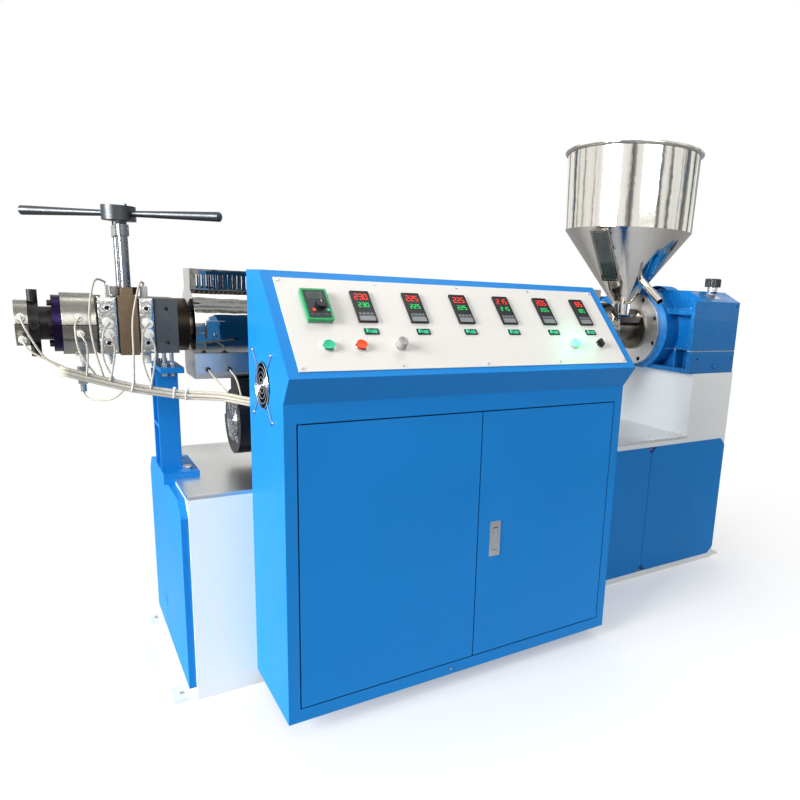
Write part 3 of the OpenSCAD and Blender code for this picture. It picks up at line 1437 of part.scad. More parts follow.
// Leads: direction into the terminal, its face, the cable joined and where, then the way
leads = [
  [[0, 1, 0], [die_x + die_end_l / 2, -die_front - top_terminal_l, axis_h + die_terminal], 1, 0.1,
    [-1362, -98, 972], [-1330, -106, 905]],
  [[0, 1, 0], [die_x + die_end_l / 2, -die_front - top_terminal_l, axis_h - 2 * die_terminal], 1, 0.3,
    [-1352, -100, 915]],
  [[0, 1, 0], [band_x + band_l / 2, -band_front - top_terminal_l / 2, axis_h + band_terminal], 1, 0.8,
    [-1262, -112, 975], [-1256, -118, 915]],
  [[0, 1, 0], [band_x + band_l / 2, -band_front - top_terminal_l / 2, axis_h - band_terminal], 0, 0.6,
    [-1240, -114, 925]],
  [[0, 1, 0], [block_a_x + heater_a_l / 2, side_tip, knob_high], 1, 1.25, [-1205, -124, 960],
    [-1208, -126, 900]],
  [[0, 1, 0], [block_a_x + heater_a_l / 2, side_tip, knob_low], 0, 1.1, [-1182, -124, 920]],
  [[0, 1, 0], [block_b_x + heater_b_l / 2, side_tip, knob_high], 1, 2.35, [-1118, -126, 960],
    [-1122, -134, 890]],
  [[0, 1, 0], [block_b_x + heater_b_l / 2, side_tip, knob_low], 0, 2.3, [-1092, -128, 915]],
  [[0, 0, -1], [block_a_x + heater_a_l / 2, -terminal_front, top_tip], 1, 0.95,
    [-1214, -86, 1086], [-1230, -112, 1010], [-1226, -126, 930]],
  [[0, 0, -1], [block_b_x + heater_b_l / 2, -terminal_front, top_tip], 1, 1.9,
    [-1116, -92, 1082], [-1138, -122, 1000], [-1142, -132, 920]],
  [[0, 0, 1], [sensor_x, 0, sensor_end], 4, 1.6, [-1238, -34, 786], [-1196, -96, 794]],
  [[0, 1, 0], [-960, -trough_y, 862], 1, 4.3, [-948, -132, 838]],
  [[0, 1, 0], [-905, -trough_y, 862], 2, 4.7, [-898, -140, 838]]];

// Conical hopper in polished stainless sheet
module hopper() color(bright_c) difference() {
  union() {
    at(hopper_x, 0, 0) rotate_extrude() polygon([
      [neck_r, slab_top], [neck_r, neck_top_h], [cone_r, cone_top_h], [hopper_r, rim_h],
      [hopper_r - hopper_t, rim_h], [cone_r - hopper_t, cone_top_h + hopper_t / 2],
      [neck_r - hopper_t, neck_top_h + hopper_t / 2], [neck_r - hopper_t, slab_top]]);
    at(hopper_x, 0, rim_h) rotate_extrude() translate([hopper_r + roll_r - hopper_t, 0]) difference() {
        circle(r = roll_r);
        circle(r = roll_r - hopper_t);
      }
    at(hopper_x - hopper_plate_s / 2, -hopper_plate_s / 2, slab_top) difference() {
      box(hopper_plate_s, hopper_plate_s, hopper_plate_t);
      at(hopper_plate_s / 2, hopper_plate_s / 2, -over)
        rod(neck_r - hopper_t, hopper_plate_t + 2 * over);
      for (x = [-hopper_bolt, hopper_bolt]) for (y = [-hopper_bolt, hopper_bolt])
        at(hopper_plate_s / 2 + x, hopper_plate_s / 2 + y, -over)
          rod(hopper_bolt_r + run_gap, hopper_plate_t + 2 * over);
    }
    difference() {
      drain_place() rod(drain_r, drain_l);
      cone_inner();
    }
  }
  drain_place() at(0, 0, -drain_l / 4) rod(drain_r - drain_wall, drain_l * 2);
  window_place() at(-window_w / 2 + window_frame / 2, window_frame, -window_deep)
    box(window_w - window_frame, window_l - 2 * window_frame, 2 * window_deep);
}
module cone_inner() at(hopper_x, 0, neck_top_h)
  cylinder(r1 = neck_r - hopper_t / 2, r2 = cone_r - hopper_t / 2, h = cone_top_h - neck_top_h);
drain_s = (drain_h - neck_top_h) / sin(cone_a);
module drain_place() on_cone(drain_a) at(0, drain_s, -over) children();
// Frame on the cone's outside: Y runs up the wall, Z points out of it
module on_cone(a) at(hopper_x, 0, neck_top_h) rotate([0, 0, a])
  multmatrix([[0, cos(cone_a), sin(cone_a), neck_r], [1, 0, 0, 0],
    [0, sin(cone_a), -cos(cone_a), 0]]) children();
module window_place() on_cone(window_a) at(0, window_from, 0) children();

// Sight window: a framed pane on the cone; the frame's back follows the cone
module sight_window() color(steel_c) difference() {
  window_place() {
    difference() {
      at(-window_w / 2, 0, -window_deep) box(window_w, window_l, 1.5 * window_deep);
      at(-window_w / 2 + window_frame, window_frame, -2 * window_deep)
        box(window_w - 2 * window_frame, window_l - 2 * window_frame, window_deep * 4);
    }
    at(-window_w / 2 + window_frame - eps, window_frame - eps, window_deep / 4)
      box(window_w - 2 * window_frame + 2 * eps, window_l - 2 * window_frame + 2 * eps, over);
  }
  at(hopper_x, 0, neck_top_h)
    cylinder(r1 = neck_r + run_gap, r2 = cone_r + run_gap, h = cone_top_h - neck_top_h);
}

// Barrel with the flange at its delivery end
module barrel() color(steel_c) difference() {
  union() {
    on_axis(head_x) rod(barrel_r, feed_x0 - head_x);
    on_axis(head_x) rod(round_flange_r, round_flange_l);
  }
  on_axis(head_x - over) rod(bore_r + screw_gap, feed_x0 - head_x + 2 * over);
}

// Shroud over the barrel, with the slotted vent box and the side latches
module barrel_cover() color(bright_c) {
  difference() {
    on_axis(cover_x0) tube(cover_r, cover_r - cover_t, cover_x1 - cover_x0);
    at(cover_x0 - over, -cover_r - over, axis_h - 2 * cover_r)
      box(cover_x1 - cover_x0 + 2 * over, 2 * cover_r + 2 * over, 2 * cover_r - cover_low);
    at(cover_x0 + rail_w, -vent_w / 2 + cover_t, axis_h + vent_low / 2)
      box(cover_x1 - cover_x0 - 2 * rail_w, vent_w - 2 * cover_t, cover_r);
  }
  // end walls round the barrel
  for (x = [cover_x0, cover_x1 - cover_t]) difference() {
    on_axis(x) tube(cover_r - eps, barrel_r + seat_gap, cover_t);
    at(x - over, -cover_r - over, axis_h - 2 * cover_r)
      box(3 * over, 2 * cover_r + 2 * over, 2 * cover_r - cover_low);
  }
  difference() {
    at(cover_x0, -vent_w / 2, axis_h + vent_low)
      box(cover_x1 - cover_x0 - vent_short, vent_w, vent_rise - vent_low);
    at(cover_x0 + cover_t, -vent_w / 2 + cover_t, axis_h + vent_low - over)
      box(cover_x1 - cover_x0 - vent_short - 2 * cover_t, vent_w - 2 * cover_t, vent_rise - vent_low +
        over - cover_t);
    on_axis(cover_x0 - over) rod(cover_r - eps, cover_x1);
    for (i = [0 : vent_groups - 1]) for (j = [0 : slot_n - 1])
      at(cover_x0 + slot_pitch * 1.5 + i * vent_group_l + j * slot_pitch - slot_w / 2, -vent_w / 2 -
        over, axis_h + slot_low) box(slot_w, vent_w + 2 * over, slot_high - slot_low);
  }
  // latches on both sides
  for (s = [-1, 1]) at(latch_x - latch_w / 2, s * (cover_r + latch_t / 2) - latch_t / 2 - s * over,
    latch_z - latch_w / 2) box(latch_w, latch_t, latch_w);
}
vent_short = 60;
vent_groups = 3;
vent_group_l = 480;

// Air box under the barrel that the blower feeds
module lower_box() color(bright_c) difference() {
  along_x(cover_x0, cover_x1) trough_shape(0);
  along_x(cover_x0 + cover_t, cover_x1 - cover_t) trough_shape(cover_t);
  on_axis(cover_x0 - over) rod(barrel_r + seat_gap, cover_x1 - cover_x0 + 2 * over);
  at(blower_x + blower_sheet, blower_neck_y + blower_sheet, axis_h - trough_low - over)
    box(blower_w - 2 * blower_sheet, blower_neck_w - 2 * blower_sheet, 3 * over);
}
module trough_shape(t) polygon([
  [-trough_y + t, axis_h - cover_low + t * over], [-trough_y + t, axis_h - trough_knee],
  [-trough_foot_y + t, axis_h - trough_low + t], [trough_foot_y - t, axis_h - trough_low + t],
  [trough_y - t, axis_h - trough_knee], [trough_y - t, axis_h - cover_low + t * over]]);

// Feed section with the throat under the hopper
module feed_section() color(steel_c) difference() {
  union() {
    at(feed_x0, -slab_s / 2, axis_h - slab_s / 2)
      box(barrel_flange_t, slab_s, slab_top - axis_h + slab_s / 2);
    on_axis(feed_x0) rod(barrel_r, flange_x - feed_x0);
    at(hopper_x - slab_s / 2, -slab_s / 2, slab_top - slab_t) box(slab_s, slab_s, slab_t);
    on_axis(flange_x - feed_collar_l) rod(feed_collar_r, feed_collar_l);
  }
  on_axis(feed_x0 - over) rod(bore_r + screw_gap, flange_x - feed_x0 + 2 * over);
  at(hopper_x, 0, axis_h) rod(throat_r, slab_top - axis_h + over);
  for (x = [-hopper_bolt, hopper_bolt]) for (y = [-hopper_bolt, hopper_bolt])
    at(hopper_x + x, y, slab_top - hopper_bolt_in) rod(hopper_bolt_r, slab_t);
}

// Screw: root, helical flight and driving shank in one piece
screw_l = screw_x1 - screw_x0;
module screw() color(steel_c) {
  on_axis(screw_x0) linear_extrude(height = screw_l, twist = -360 * screw_l / screw_pitch,
    slices = ceil(screw_l / screw_pitch * slices_per_turn), $fn = len(flight_outline))
    polygon(flight_outline);
  on_axis(screw_x1 - eps) rod(shank_r, case_x1 - case_t - screw_x1 - end_bore_gap);
}
flight_outline = [for (k = [0 : 11]) let (a = k * 30, r = k == 0 || k == 11 ? bore_r : screw_root_r)
  [r * cos(a), r * sin(a)]];

module gear_flange() color(bright_c) difference() {
  on_axis(flange_x) rod(gear_flange_r, gear_flange_t);
  on_axis(flange_x - over) rod(shank_r + run_gap, gear_flange_t + 2 * over);
  for (i = [0 : flange_bolt_n - 1]) at(flange_x - over, 0, axis_h)
    rotate([22.5 + i * 45, 0, 0]) at(0, 0, flange_pcd_r) rotate([0, 90, 0])
      rod(flange_hole_r, gear_flange_t * 0.7);
}

// Gearbox case with thrust housing, corner webs, ribs, foot pockets and bearing seats
module both_sides() for (s = [0, 1]) mirror([0, s, 0]) children();
module thrust_housing() {
  on_axis(house_x) rod(housing_r, wall_x - house_x + eps);
  on_x(house_x, input_y, input_z) rod(boss_in_r, wall_x - house_x + eps);
}
module case_half(low, high, flange_z) {
  at(wall_x, -case_y, low) box(case_x1 - wall_x, 2 * case_y, high - low);
  both_sides() at(case_x0, -case_y, low) box(web_deep + eps, web_t, high - low);
  at(case_x0, -case_y, flange_z) box(web_deep + eps, 2 * case_y, seam_flange_t);
}
module gearbox_case() color(blue_c) difference() {
  union() {
    case_half(plinth_h, seam_h, seam_h - seam_flange_t);
    at(case_x0, -case_y, plinth_h) box(web_deep + eps, 2 * case_y, case_foot_h);
    thrust_housing();
    both_sides() {
      // gussets with hollow ends, and the walls of the foot pocket below them
      for (i = [0 : case_rib_n - 1]) at(wall_x - rib_deep, -case_y + web_t - eps, rib_z0 + i * rib_pitch)
          difference() {
            box(rib_deep + eps, rib_l, case_rib_t);
            at(0, rib_l, -over) rod(rib_deep, case_rib_t + 2 * over);
          }
      at(case_x0, rib_l - case_y + web_t, plinth_h) box(web_deep + eps, case_rib_t, rib_z0 - plinth_h);
      at(case_x0, -case_y, rib_z0 - case_rib_t)
        box(web_deep + eps, rib_l + web_t + case_rib_t, case_rib_t);
    }
    on_front(drain_plug_x, -case_y + eps, drain_plug_z) rod(drain_plug_r, drain_plug_h, 6);
  }
  // gear room, and the space of the cover above the seam
  at(case_x0 + case_wall_l, -case_y + case_recess + case_t, plinth_h + case_t)
    box(case_x1 - case_x0 - case_wall_l - case_t, 2 * (case_y - case_recess - case_t), case_y);
  at(house_x - over, -case_y - over, seam_h) box(case_x1, 2 * case_y + 2 * over, case_y);
  at(house_x - over, -case_y - over, plinth_h - case_y) box(case_x1, 2 * case_y + 2 * over, case_y);
  // foot pockets at the right end, foot bolt holes and lifting holes
  both_sides() {
    at(case_x1 - web_deep, -case_y + web_t, plinth_h + case_foot_h)
      box(web_deep + over, rib_l, rib_z0 - plinth_h - case_foot_h - case_rib_t);
    for (x = foot_bolt_x) at(x, -foot_y, plinth_h - over) rod(foot_bolt_r + run_gap, case_foot_h + 2 * over);
    for (x = side_hole_x) on_front(x, -case_y + case_t, side_hole_z) rod(heat_hole_r, case_t + over);
    // open joint line between oil sump and case
    at(wall_x - web_deep - over, -case_y - over, sump_h) box(case_x1, sump_groove + over, sump_groove);
  }
  shaft_bores();
}
rib_l = 57;
rib_rise = 101;
rib_z0 = plinth_h + rib_rise;
rib_pitch = 26;
rib_deep = 46;
seam_flange_t = 12;
side_hole_x = [828, 1038];
side_hole_rise = 57;
side_hole_z = plinth_h + side_hole_rise;
drain_plug_x = 935;
drain_plug_rise = 27;
drain_plug_z = plinth_h + drain_plug_rise;
drain_plug_r = 12;
drain_plug_h = 8;
sump_rise = 88;
sump_h = plinth_h + sump_rise;
sump_groove = 2;
module shaft_bores() {
  on_axis(house_x - over) rod(shank_r + over, case_wall_l + over);
  on_axis(case_x0 + case_wall_l / 3) rod(out_shaft_r + run_gap, case_wall_l);
  on_axis(case_x1 - case_t - over) rod(shank_r, case_t + 2 * over);
  on_x(case_x0 + case_wall_l - bearing_w, lay_y, lay_z) rod(lay_shaft_r + run_gap, case_wall_l);
  on_x(case_x0 + case_wall_l - bearing_w, input_y, input_z) rod(gear_shaft_r + run_gap, case_wall_l);
  on_x(case_x1 - case_t - over, input_y, input_z) rod(gear_shaft_r + run_gap, case_t + 2 * over);
  on_x(house_x - over, input_y, input_z) rod(boss_cup_r, boss_cup_l / 2);
}

module cover_profile(t) polygon([
  [-case_y + t, seam_h - t], [-case_y + t, gear_top_h - cover_cut_z - t / 2],
  [-case_y + cover_cut_y + t / 2, gear_top_h - t], [case_y - cover_cut_y - t / 2, gear_top_h - t],
  [case_y - t, gear_top_h - cover_cut_z - t / 2], [case_y - t, seam_h - t]]);
module gearbox_cover() color(blue_c) {
  difference() {
    union() {
      along_x(wall_x, case_x1) cover_profile(0);
      case_half(seam_h, gear_top_h - cover_cut_z, seam_h);
      thrust_housing();
    }
    along_x(case_x0 + case_wall_l, case_x1 - case_t) translate([0, -over]) cover_profile(case_t);
    at(house_x - over, -case_y - over, axis_h - case_y)
      box(case_x1, 2 * case_y + 2 * over, seam_h - axis_h + case_y);
    on_front(side_hole_x[1], -case_y + case_t, cover_hole_z) rod(heat_hole_r, case_t + over);
    shaft_bores();
  }
  // seam bolts, top bolts and the breather with its cap
  both_sides() at(wall_x - rib_deep / 2, -foot_y, seam_h + seam_flange_t - eps)
    rod(cap_bolt_h, cap_bolt_h, 6);
  for (x = top_bolt_x) at(x, 0, gear_top_h - eps) rod(cap_bolt_h, cap_bolt_r, 6);
  at(breather_x, breather_y, gear_top_h - eps) rod(breather_neck_r, breather_neck_h + eps);
  at(breather_x, breather_y, gear_top_h + breather_neck_h) rod(breather_r, breather_h);
}
cover_hole_rise = 29;
cover_hole_z = seam_h + cover_hole_rise;
top_bolt_x = [838, 888];

// Involute spur gears with trimmed tips and some backlash
function inv(a) = tan(a) * 180 / PI - a;
function flank_r(m, z, k) = let (rb = m * z / 2 * cos(pressure_a), ra = m * (z / 2 + addendum_share))
  rb + (ra - rb) * k / flank_n;
function flank_a(m, z, r) = let (rb = m * z / 2 * cos(pressure_a), rr = max(r, rb),
  half = 90 / z * (1 - backlash_share) + inv(pressure_a)) half - inv(acos(min(1, rb / rr)));
function tooth(m, z, c) = let (rf = m * (z / 2 - dedendum_share)) concat([[rf, c - flank_a(m, z, 0)]],
    [for (k = [0 : flank_n]) let (r = flank_r(m, z, k)) if (r > rf) [r, c - flank_a(m, z, r)]],
    [for (k = [flank_n : -1 : 0]) let (r = flank_r(m, z, k)) if (r > rf) [r, c + flank_a(m, z, r)]],
    [[rf, c + flank_a(m, z, 0)]]);
module gear(m, z, turn, h) linear_extrude(height = h) polygon([for (i = [0 : z - 1])
  for (p = tooth(m, z, turn + i * 360 / z)) [p[0] * cos(p[1]), p[0] * sin(p[1])]]);

module bull_gear() color(steel_c) difference() {
  union() {
    on_axis(bull_x) gear(gear_module, bull_teeth, 90 + lay_a, bull_w);
    on_axis(case_x0 + case_wall_l / 3 + 1) rod(out_shaft_r, case_x1 - case_t - end_bore_gap -
      case_x0 - case_wall_l / 3);
  }
  on_axis(case_x0) rod(shank_r + press_gap, case_x1 - case_x0);
}
module layshaft() color(steel_c) on_x(case_x0 + case_wall_l - bearing_w, lay_y, lay_z) {
  at(0, 0, 1) rod(lay_shaft_r, wheel_x + wheel_w - case_x0 - case_wall_l + bearing_w + 4);
  at(0, 0, bull_x - case_x0 - case_wall_l + bearing_w)
    gear(gear_module, lay_pinion_teeth, 90 + lay_a + 180 + 180 / lay_pinion_teeth, bull_w);
  at(0, 0, wheel_x - case_x0 - case_wall_l + bearing_w)
    gear(input_module, lay_wheel_teeth, 90 + input_a, wheel_w);
}
module pulley(r) difference() {
  rod(r + groove_deep / 2, pulley_w);
  for (i = [-1 : groove_n - 2]) at(0, 0, pulley_w / 2 + i * groove_pitch - groove_w / 2)
    tube(r + groove_deep, r - groove_deep / 2, groove_w);
}
module input_shaft() color(steel_c) {
  on_x(case_x0 + case_wall_l - bearing_w + 1, input_y, input_z)
    rod(gear_shaft_r - 3, pulley_x + pulley_w - case_x0 - case_wall_l + bearing_w);
  on_x(wheel_x, input_y, input_z)
    gear(input_module, input_teeth, 90 + input_a + 180 + 180 / input_teeth, wheel_w);
  on_x(case_x1 - case_t - 2, input_y, input_z) rod(gear_shaft_r, case_t + 4);
  on_x(case_x0 + case_wall_l - bearing_w + 1, input_y, input_z) rod(gear_shaft_r, bearing_w);
  on_x(pulley_x, input_y, input_z) pulley(driven_pulley_r);
}

// Drive motor on its shelf inside the frame
module motor() color("#3d5566") difference() {
  union() {
    on_x(motor_x0, motor_y, motor_h) {
      rod(motor_core_r, motor_l);
      rod(motor_r - 2, motor_cowl_l);
      for (i = [0 : motor_fin_n - 1]) rotate([0, 0, i * 360 / motor_fin_n])
        at(motor_core_r - over, -motor_fin_t / 2, motor_cowl_l)
          box(motor_fin - over + over / 2, motor_fin_t, motor_l - 2 * motor_cowl_l);
    }
    at(motor_x0 + motor_cowl_l, motor_y - motor_foot_w / 2, shelf_h)
      box(motor_foot_l, motor_foot_w * motor_foot_share, motor_foot_t);
    at(motor_x0 + motor_cowl_l, motor_y - motor_foot_w / 4, shelf_h)
      box(motor_foot_l, motor_foot_w / 2, motor_r / 2);
    at(motor_x0 + motor_l / 2 - motor_box_w / 2, motor_y - motor_box_w / 2, motor_h + motor_core_r -
      motor_fin) box(motor_box_w, motor_box_w, motor_box_h);
  }
  on_x(motor_x0 + motor_cowl_l, motor_y, motor_h) rod(motor_shaft_r + run_gap, motor_l);
}
motor_foot_share = 0.98;
module motor_rotor() color(steel_c) {
  on_x(motor_x0 + motor_cowl_l + 1, motor_y, motor_h)
    rod(motor_shaft_r, pulley_x + pulley_w - motor_x0 - motor_cowl_l);
  on_x(pulley_x, motor_y, motor_h) pulley(motor_pulley_r);
}
belt_gap = 0.3;
module belt_loop(r1, r2) hull() {
  translate([input_y, input_z]) circle(r = r1, $fn = fn_hull * 2);
  translate([motor_y, motor_h]) circle(r = r2, $fn = fn_hull * 2);
}
module drive_belts() color(dark_c) for (i = [-1 : groove_n - 2])
  along_x(pulley_x + pulley_w / 2 + i * groove_pitch - belt_w / 2,
    pulley_x + pulley_w / 2 + i * groove_pitch + belt_w / 2) difference() {
    belt_loop(driven_pulley_r - groove_deep / 2 + belt_gap + belt_t,
      motor_pulley_r - groove_deep / 2 + belt_gap + belt_t);
    belt_loop(driven_pulley_r - groove_deep / 2 + belt_gap,
      motor_pulley_r - groove_deep / 2 + belt_gap);
  }

base_frame();
deck_plate();
cover_panels();
support_post();
bright_fittings();
head_bolts();
cabinet_shell();
left_door();
right_door();
lock_body();
lock_handle();
console_panel();
keypad();
keypad_dial();
run_key();
stop_key();
controllers();
operator_bezels();
rocker_1();
rocker_2();
rocker_3();
rocker_4();
rocker_5();
rocker_6();
start_button();
stop_button();
speed_knob();
selector_knob();
fan_housings();
fan_rotor();
blower_wheel();
cabinet_equipment();
head_blocks();
heaters();
ceramic_terminals();
changer_body();
screen_slide();
lift_frame();
lift_screw();
handle();
head_adapter();
die_flange();
die_body();
heater_cables();
hopper();
sight_window();
barrel();
barrel_cover();
lower_box();
feed_section();
screw();
gear_flange();
gearbox_case();
gearbox_cover();
bull_gear();
layshaft();
input_shaft();
motor();
motor_rotor();
drive_belts();
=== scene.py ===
"""Looks of a single screw compounding extruder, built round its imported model.

Lengths in the classes are millimetres in the row frame: +X along the screw towards the
gearbox, -Y towards the operator, +Z up, origin on the floor under the base frame's middle.
"""
import logging
import math
from dataclasses import dataclass
from enum import Enum
from typing import Optional, Sequence

import bpy
import numpy as np
from mathutils import Euler, Matrix, Vector


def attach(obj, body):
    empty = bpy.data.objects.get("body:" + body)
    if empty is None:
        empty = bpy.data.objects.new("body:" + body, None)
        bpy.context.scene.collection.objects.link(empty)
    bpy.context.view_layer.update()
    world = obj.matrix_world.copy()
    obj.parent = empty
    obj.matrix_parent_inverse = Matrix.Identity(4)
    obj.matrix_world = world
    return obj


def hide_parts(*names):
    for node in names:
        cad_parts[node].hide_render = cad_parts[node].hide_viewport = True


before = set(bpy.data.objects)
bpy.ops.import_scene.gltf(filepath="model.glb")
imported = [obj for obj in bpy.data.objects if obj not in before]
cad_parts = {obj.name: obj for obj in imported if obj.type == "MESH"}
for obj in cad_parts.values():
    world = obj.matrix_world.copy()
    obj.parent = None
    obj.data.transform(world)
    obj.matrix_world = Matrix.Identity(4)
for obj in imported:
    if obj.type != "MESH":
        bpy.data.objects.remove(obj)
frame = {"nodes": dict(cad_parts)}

log = logging.getLogger("extruder")
MM = 0.001
# Radius of the tiny face that closes a turned profile at its axis, in millimetres.
POLE = 0.01
# Values of the noise texture between which roughness drifts over its whole range.
NOISE_SPAN = (0.3, 0.7)
# Cosines between the rounded and the true normal at which rubbed edges, and the blue casting's
# painted edge highlight, start and are full.
WEAR_AND_HIGHLIGHT_BEND = (0.97, 0.80)
# Values of the slow noise between which edge rubbing and painted edge highlight come in, and how
# full they get.
WEAR_AND_HIGHLIGHT_PATCH = (0.46, 0.60)
WEAR_AND_HIGHLIGHT_MOST = 0.85
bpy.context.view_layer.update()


# Mesh building


@dataclass
class Shell:
    """Vertices and faces of one mesh under construction.

    Attributes:
        verts: Array of shape (count, 3), in millimetres.
        faces: Vertex numbers of each face.
        smooth: Whether the faces are shaded smooth.
        slot: Number of the piece's finish that they show.
    """

    verts: np.ndarray
    faces: list[tuple[int, ...]]
    smooth: bool = True
    slot: int = 0

    def placed(self, matrix: Matrix) -> "Shell":
        """Moves the shell.

        Args:
            matrix: 4x4 matrix, in millimetres.

        Returns:
            A copy with its vertices moved: p' = R p + t.
        """
        m = np.array(matrix)
        verts = self.verts @ m[:3, :3].T + m[:3, 3]
        return Shell(verts, self.faces, self.smooth, self.slot)

    def coloured(self, slot: int) -> "Shell":
        """The same shell showing another finish of its piece."""
        return Shell(self.verts, self.faces, self.smooth, slot)


def grid_shell(points: np.ndarray, close_u: bool = False, close_v: bool = False,
               caps: bool = False, smooth: bool = True) -> Shell:
    """A quad surface over a grid of points.

    Args:
        points: Array of shape (rows, columns, 3), in millimetres.
        close_u: Whether the last row joins the first one.
        close_v: Whether the last column joins the first one.
        caps: Whether the first and last rows are filled with a face.
        smooth: Whether the faces are shaded smooth.

    Returns:
        The shell, with faces turned outwards for rows that run counterclockwise.
    """
    rows, cols = points.shape[:2]
    r = np.arange(rows if close_u else rows - 1)
    c = np.arange(cols if close_v else cols - 1)
    i, j = np.meshgrid(r, c, indexing="ij")
    i2, j2 = (i + 1) % rows, (j + 1) % cols
    quads = np.stack([i * cols + j, i * cols + j2, i2 * cols + j2, i2 * cols + j], -1)
    faces = [tuple(q) for q in quads.reshape(-1, 4).tolist()]
    if caps:
        faces.append(tuple(range(cols - 1, -1, -1)))
        faces.append(tuple(range((rows - 1) * cols, rows * cols)))
    return Shell(points.reshape(-1, 3).astype(float), faces, smooth)


def lathe(profile: Sequence[tuple[float, float]], steps: int = 64, ring: bool = False) -> Shell:
    """A profile of (height, radius) turned round +Z: x = r cos a, y = r sin a, z = h.

    Args:
        profile: Its points, upwards on the outside.
        steps: Number of steps round the axis.
        ring: Whether the profile is closed, so that the shell has a hole through it.

    Returns:
        The closed shell.
    """
    p = np.array(profile, float)
    a = np.linspace(0, 2 * math.pi, steps, endpoint=False)
    pts = np.stack([p[:, 1, None] * np.cos(a), p[:, 1, None] * np.sin(a),
                    np.repeat(p[:, :1], steps, 1)], -1)
    return grid_shell(pts, close_u=ring, close_v=True, caps=not ring)


def sweep(route: np.ndarray, radius: float, sides: int) -> Shell:
    """A round tube: circles of one radius, square to a route of points.

    The ring's frame is carried along the route by projecting the last one, so it never flips.

    Args:
        route: Points of the middle line.
        radius: Radius of the tube.
        sides: Sides of its section.

    Returns:
        The tube, closed at both ends.
    """
    d = np.gradient(route, axis=0)
    d /= np.linalg.norm(d, axis=1)[:, None]
    u = np.zeros_like(d)
    start = np.array([0.0, 0.0, 1.0] if abs(d[0, 2]) < 0.9 else [1.0, 0.0, 0.0])
    for k, w in enumerate(d):
        start = start - w * (start @ w)
        start /= np.linalg.norm(start)
        u[k] = start
    v = np.cross(d, u)
    a = np.linspace(0, 2 * math.pi, sides, endpoint=False)
    ring = (np.cos(a)[None, :, None] * u[:, None] + np.sin(a)[None, :, None] * v[:, None])
    return grid_shell(route[:, None] + radius * ring, close_v=True, caps=True)


def spline(points: Sequence[Sequence[float]], steps: int) -> np.ndarray:
    """A smooth line through points: the Catmull-Rom cubic between each pair of neighbours.

    Args:
        points: Points that the line passes.
        steps: Number of steps from one point to the next.

    Returns:
        Points of the line, as an array of shape (count, 3).
    """
    p = np.array(points, float)
    q = np.vstack([p[:1], p, p[-1:]])
    t = np.linspace(0, 1, steps, endpoint=False)[:, None]
    out = []
    for i in range(1, len(q) - 2):
        a, b, c, d = q[i - 1], q[i], q[i + 1], q[i + 2]
        out.append(0.5 * (2 * b + (c - a) * t + (2 * a - 5 * b + 4 * c - d) * t ** 2
                          + (3 * b - a - 3 * c + d) * t ** 3))
    out.append(p[-1:])
    return np.vstack(out)


def rounded_outline(width: float, height: float, radius: float, arc: int = 5) -> np.ndarray:
    """A rectangle about the origin whose corners are arcs: centre + r (cos a, sin a).

    Args:
        width: Size along X.
        height: Size along Y.
        radius: Radius of the corners.
        arc: Points on each corner.

    Returns:
        Points of the outline, counterclockwise.
    """
    w, h = width / 2 - radius, height / 2 - radius
    a = np.radians(np.linspace(0, 90, arc))
    turn = [(w, h, 0), (-w, h, 90), (-w, -h, 180), (w, -h, 270)]
    return np.vstack([np.stack([x + radius * np.cos(a + math.radians(t)),
                                y + radius * np.sin(a + math.radians(t))], -1)
                      for x, y, t in turn])


def prism(outline: np.ndarray, low: float, high: float, edge: float = 0.0) -> Shell:
    """An outline in XY raised along +Z, its upper edge eased by a small chamfer.

    Args:
        outline: Points, counterclockwise.
        low: Height of the lower face.
        high: Height of the upper face.
        edge: Width of the chamfer.

    Returns:
        The closed shell.
    """
    o = np.asarray(outline, float)
    centre = (o.max(0) + o.min(0)) / 2
    half = (o.max(0) - o.min(0)) / 2
    inner = centre + (o - centre) * (1 - edge / np.maximum(half, 1e-6))
    rows = [(o, low), (o, high - edge), (inner, high)] if edge else [(o, low), (o, high)]
    pts = np.stack([np.column_stack([q, np.full(len(q), z)]) for q, z in rows])
    return grid_shell(pts, close_v=True, caps=True, smooth=False)


def block(width: float, depth: float, low: float, high: float, radius: float = 1.0,
          edge: float = 0.4, at: tuple[float, float] = (0.0, 0.0)) -> Shell:
    """A box with rounded upright edges and an eased top.

    Args:
        width: Size along X.
        depth: Size along Y.
        low: Height of the lower face.
        high: Height of the upper face.
        radius: Radius of the upright edges.
        edge: Width of the chamfer on top.
        at: Place of its middle in XY.

    Returns:
        The closed shell.
    """
    return prism(rounded_outline(width, depth, radius) + np.array(at), low, high, edge)


def add_object(name: str, data: bpy.types.ID) -> bpy.types.Object:
    """Adds an object to the scene.

    Args:
        name: Its name.
        data: Its mesh, lamp or camera.

    Returns:
        The new object.
    """
    obj = bpy.data.objects.new(name, data)
    bpy.context.scene.collection.objects.link(obj)
    return obj


def joined(shells: Sequence[Shell]) -> tuple[np.ndarray, list, list[bool], list[int]]:
    """Puts several shells in one mesh.

    Args:
        shells: The shells.

    Returns:
        All vertices, all faces, and each face's shading and finish number.
    """
    verts, faces, smooth, slots, n = [], [], [], [], 0
    for s in shells:
        verts.append(s.verts)
        faces += [tuple(i + n for i in f) for f in s.faces]
        smooth += [s.smooth] * len(s.faces)
        slots += [s.slot] * len(s.faces)
        n += len(s.verts)
    return np.vstack(verts), faces, smooth, slots


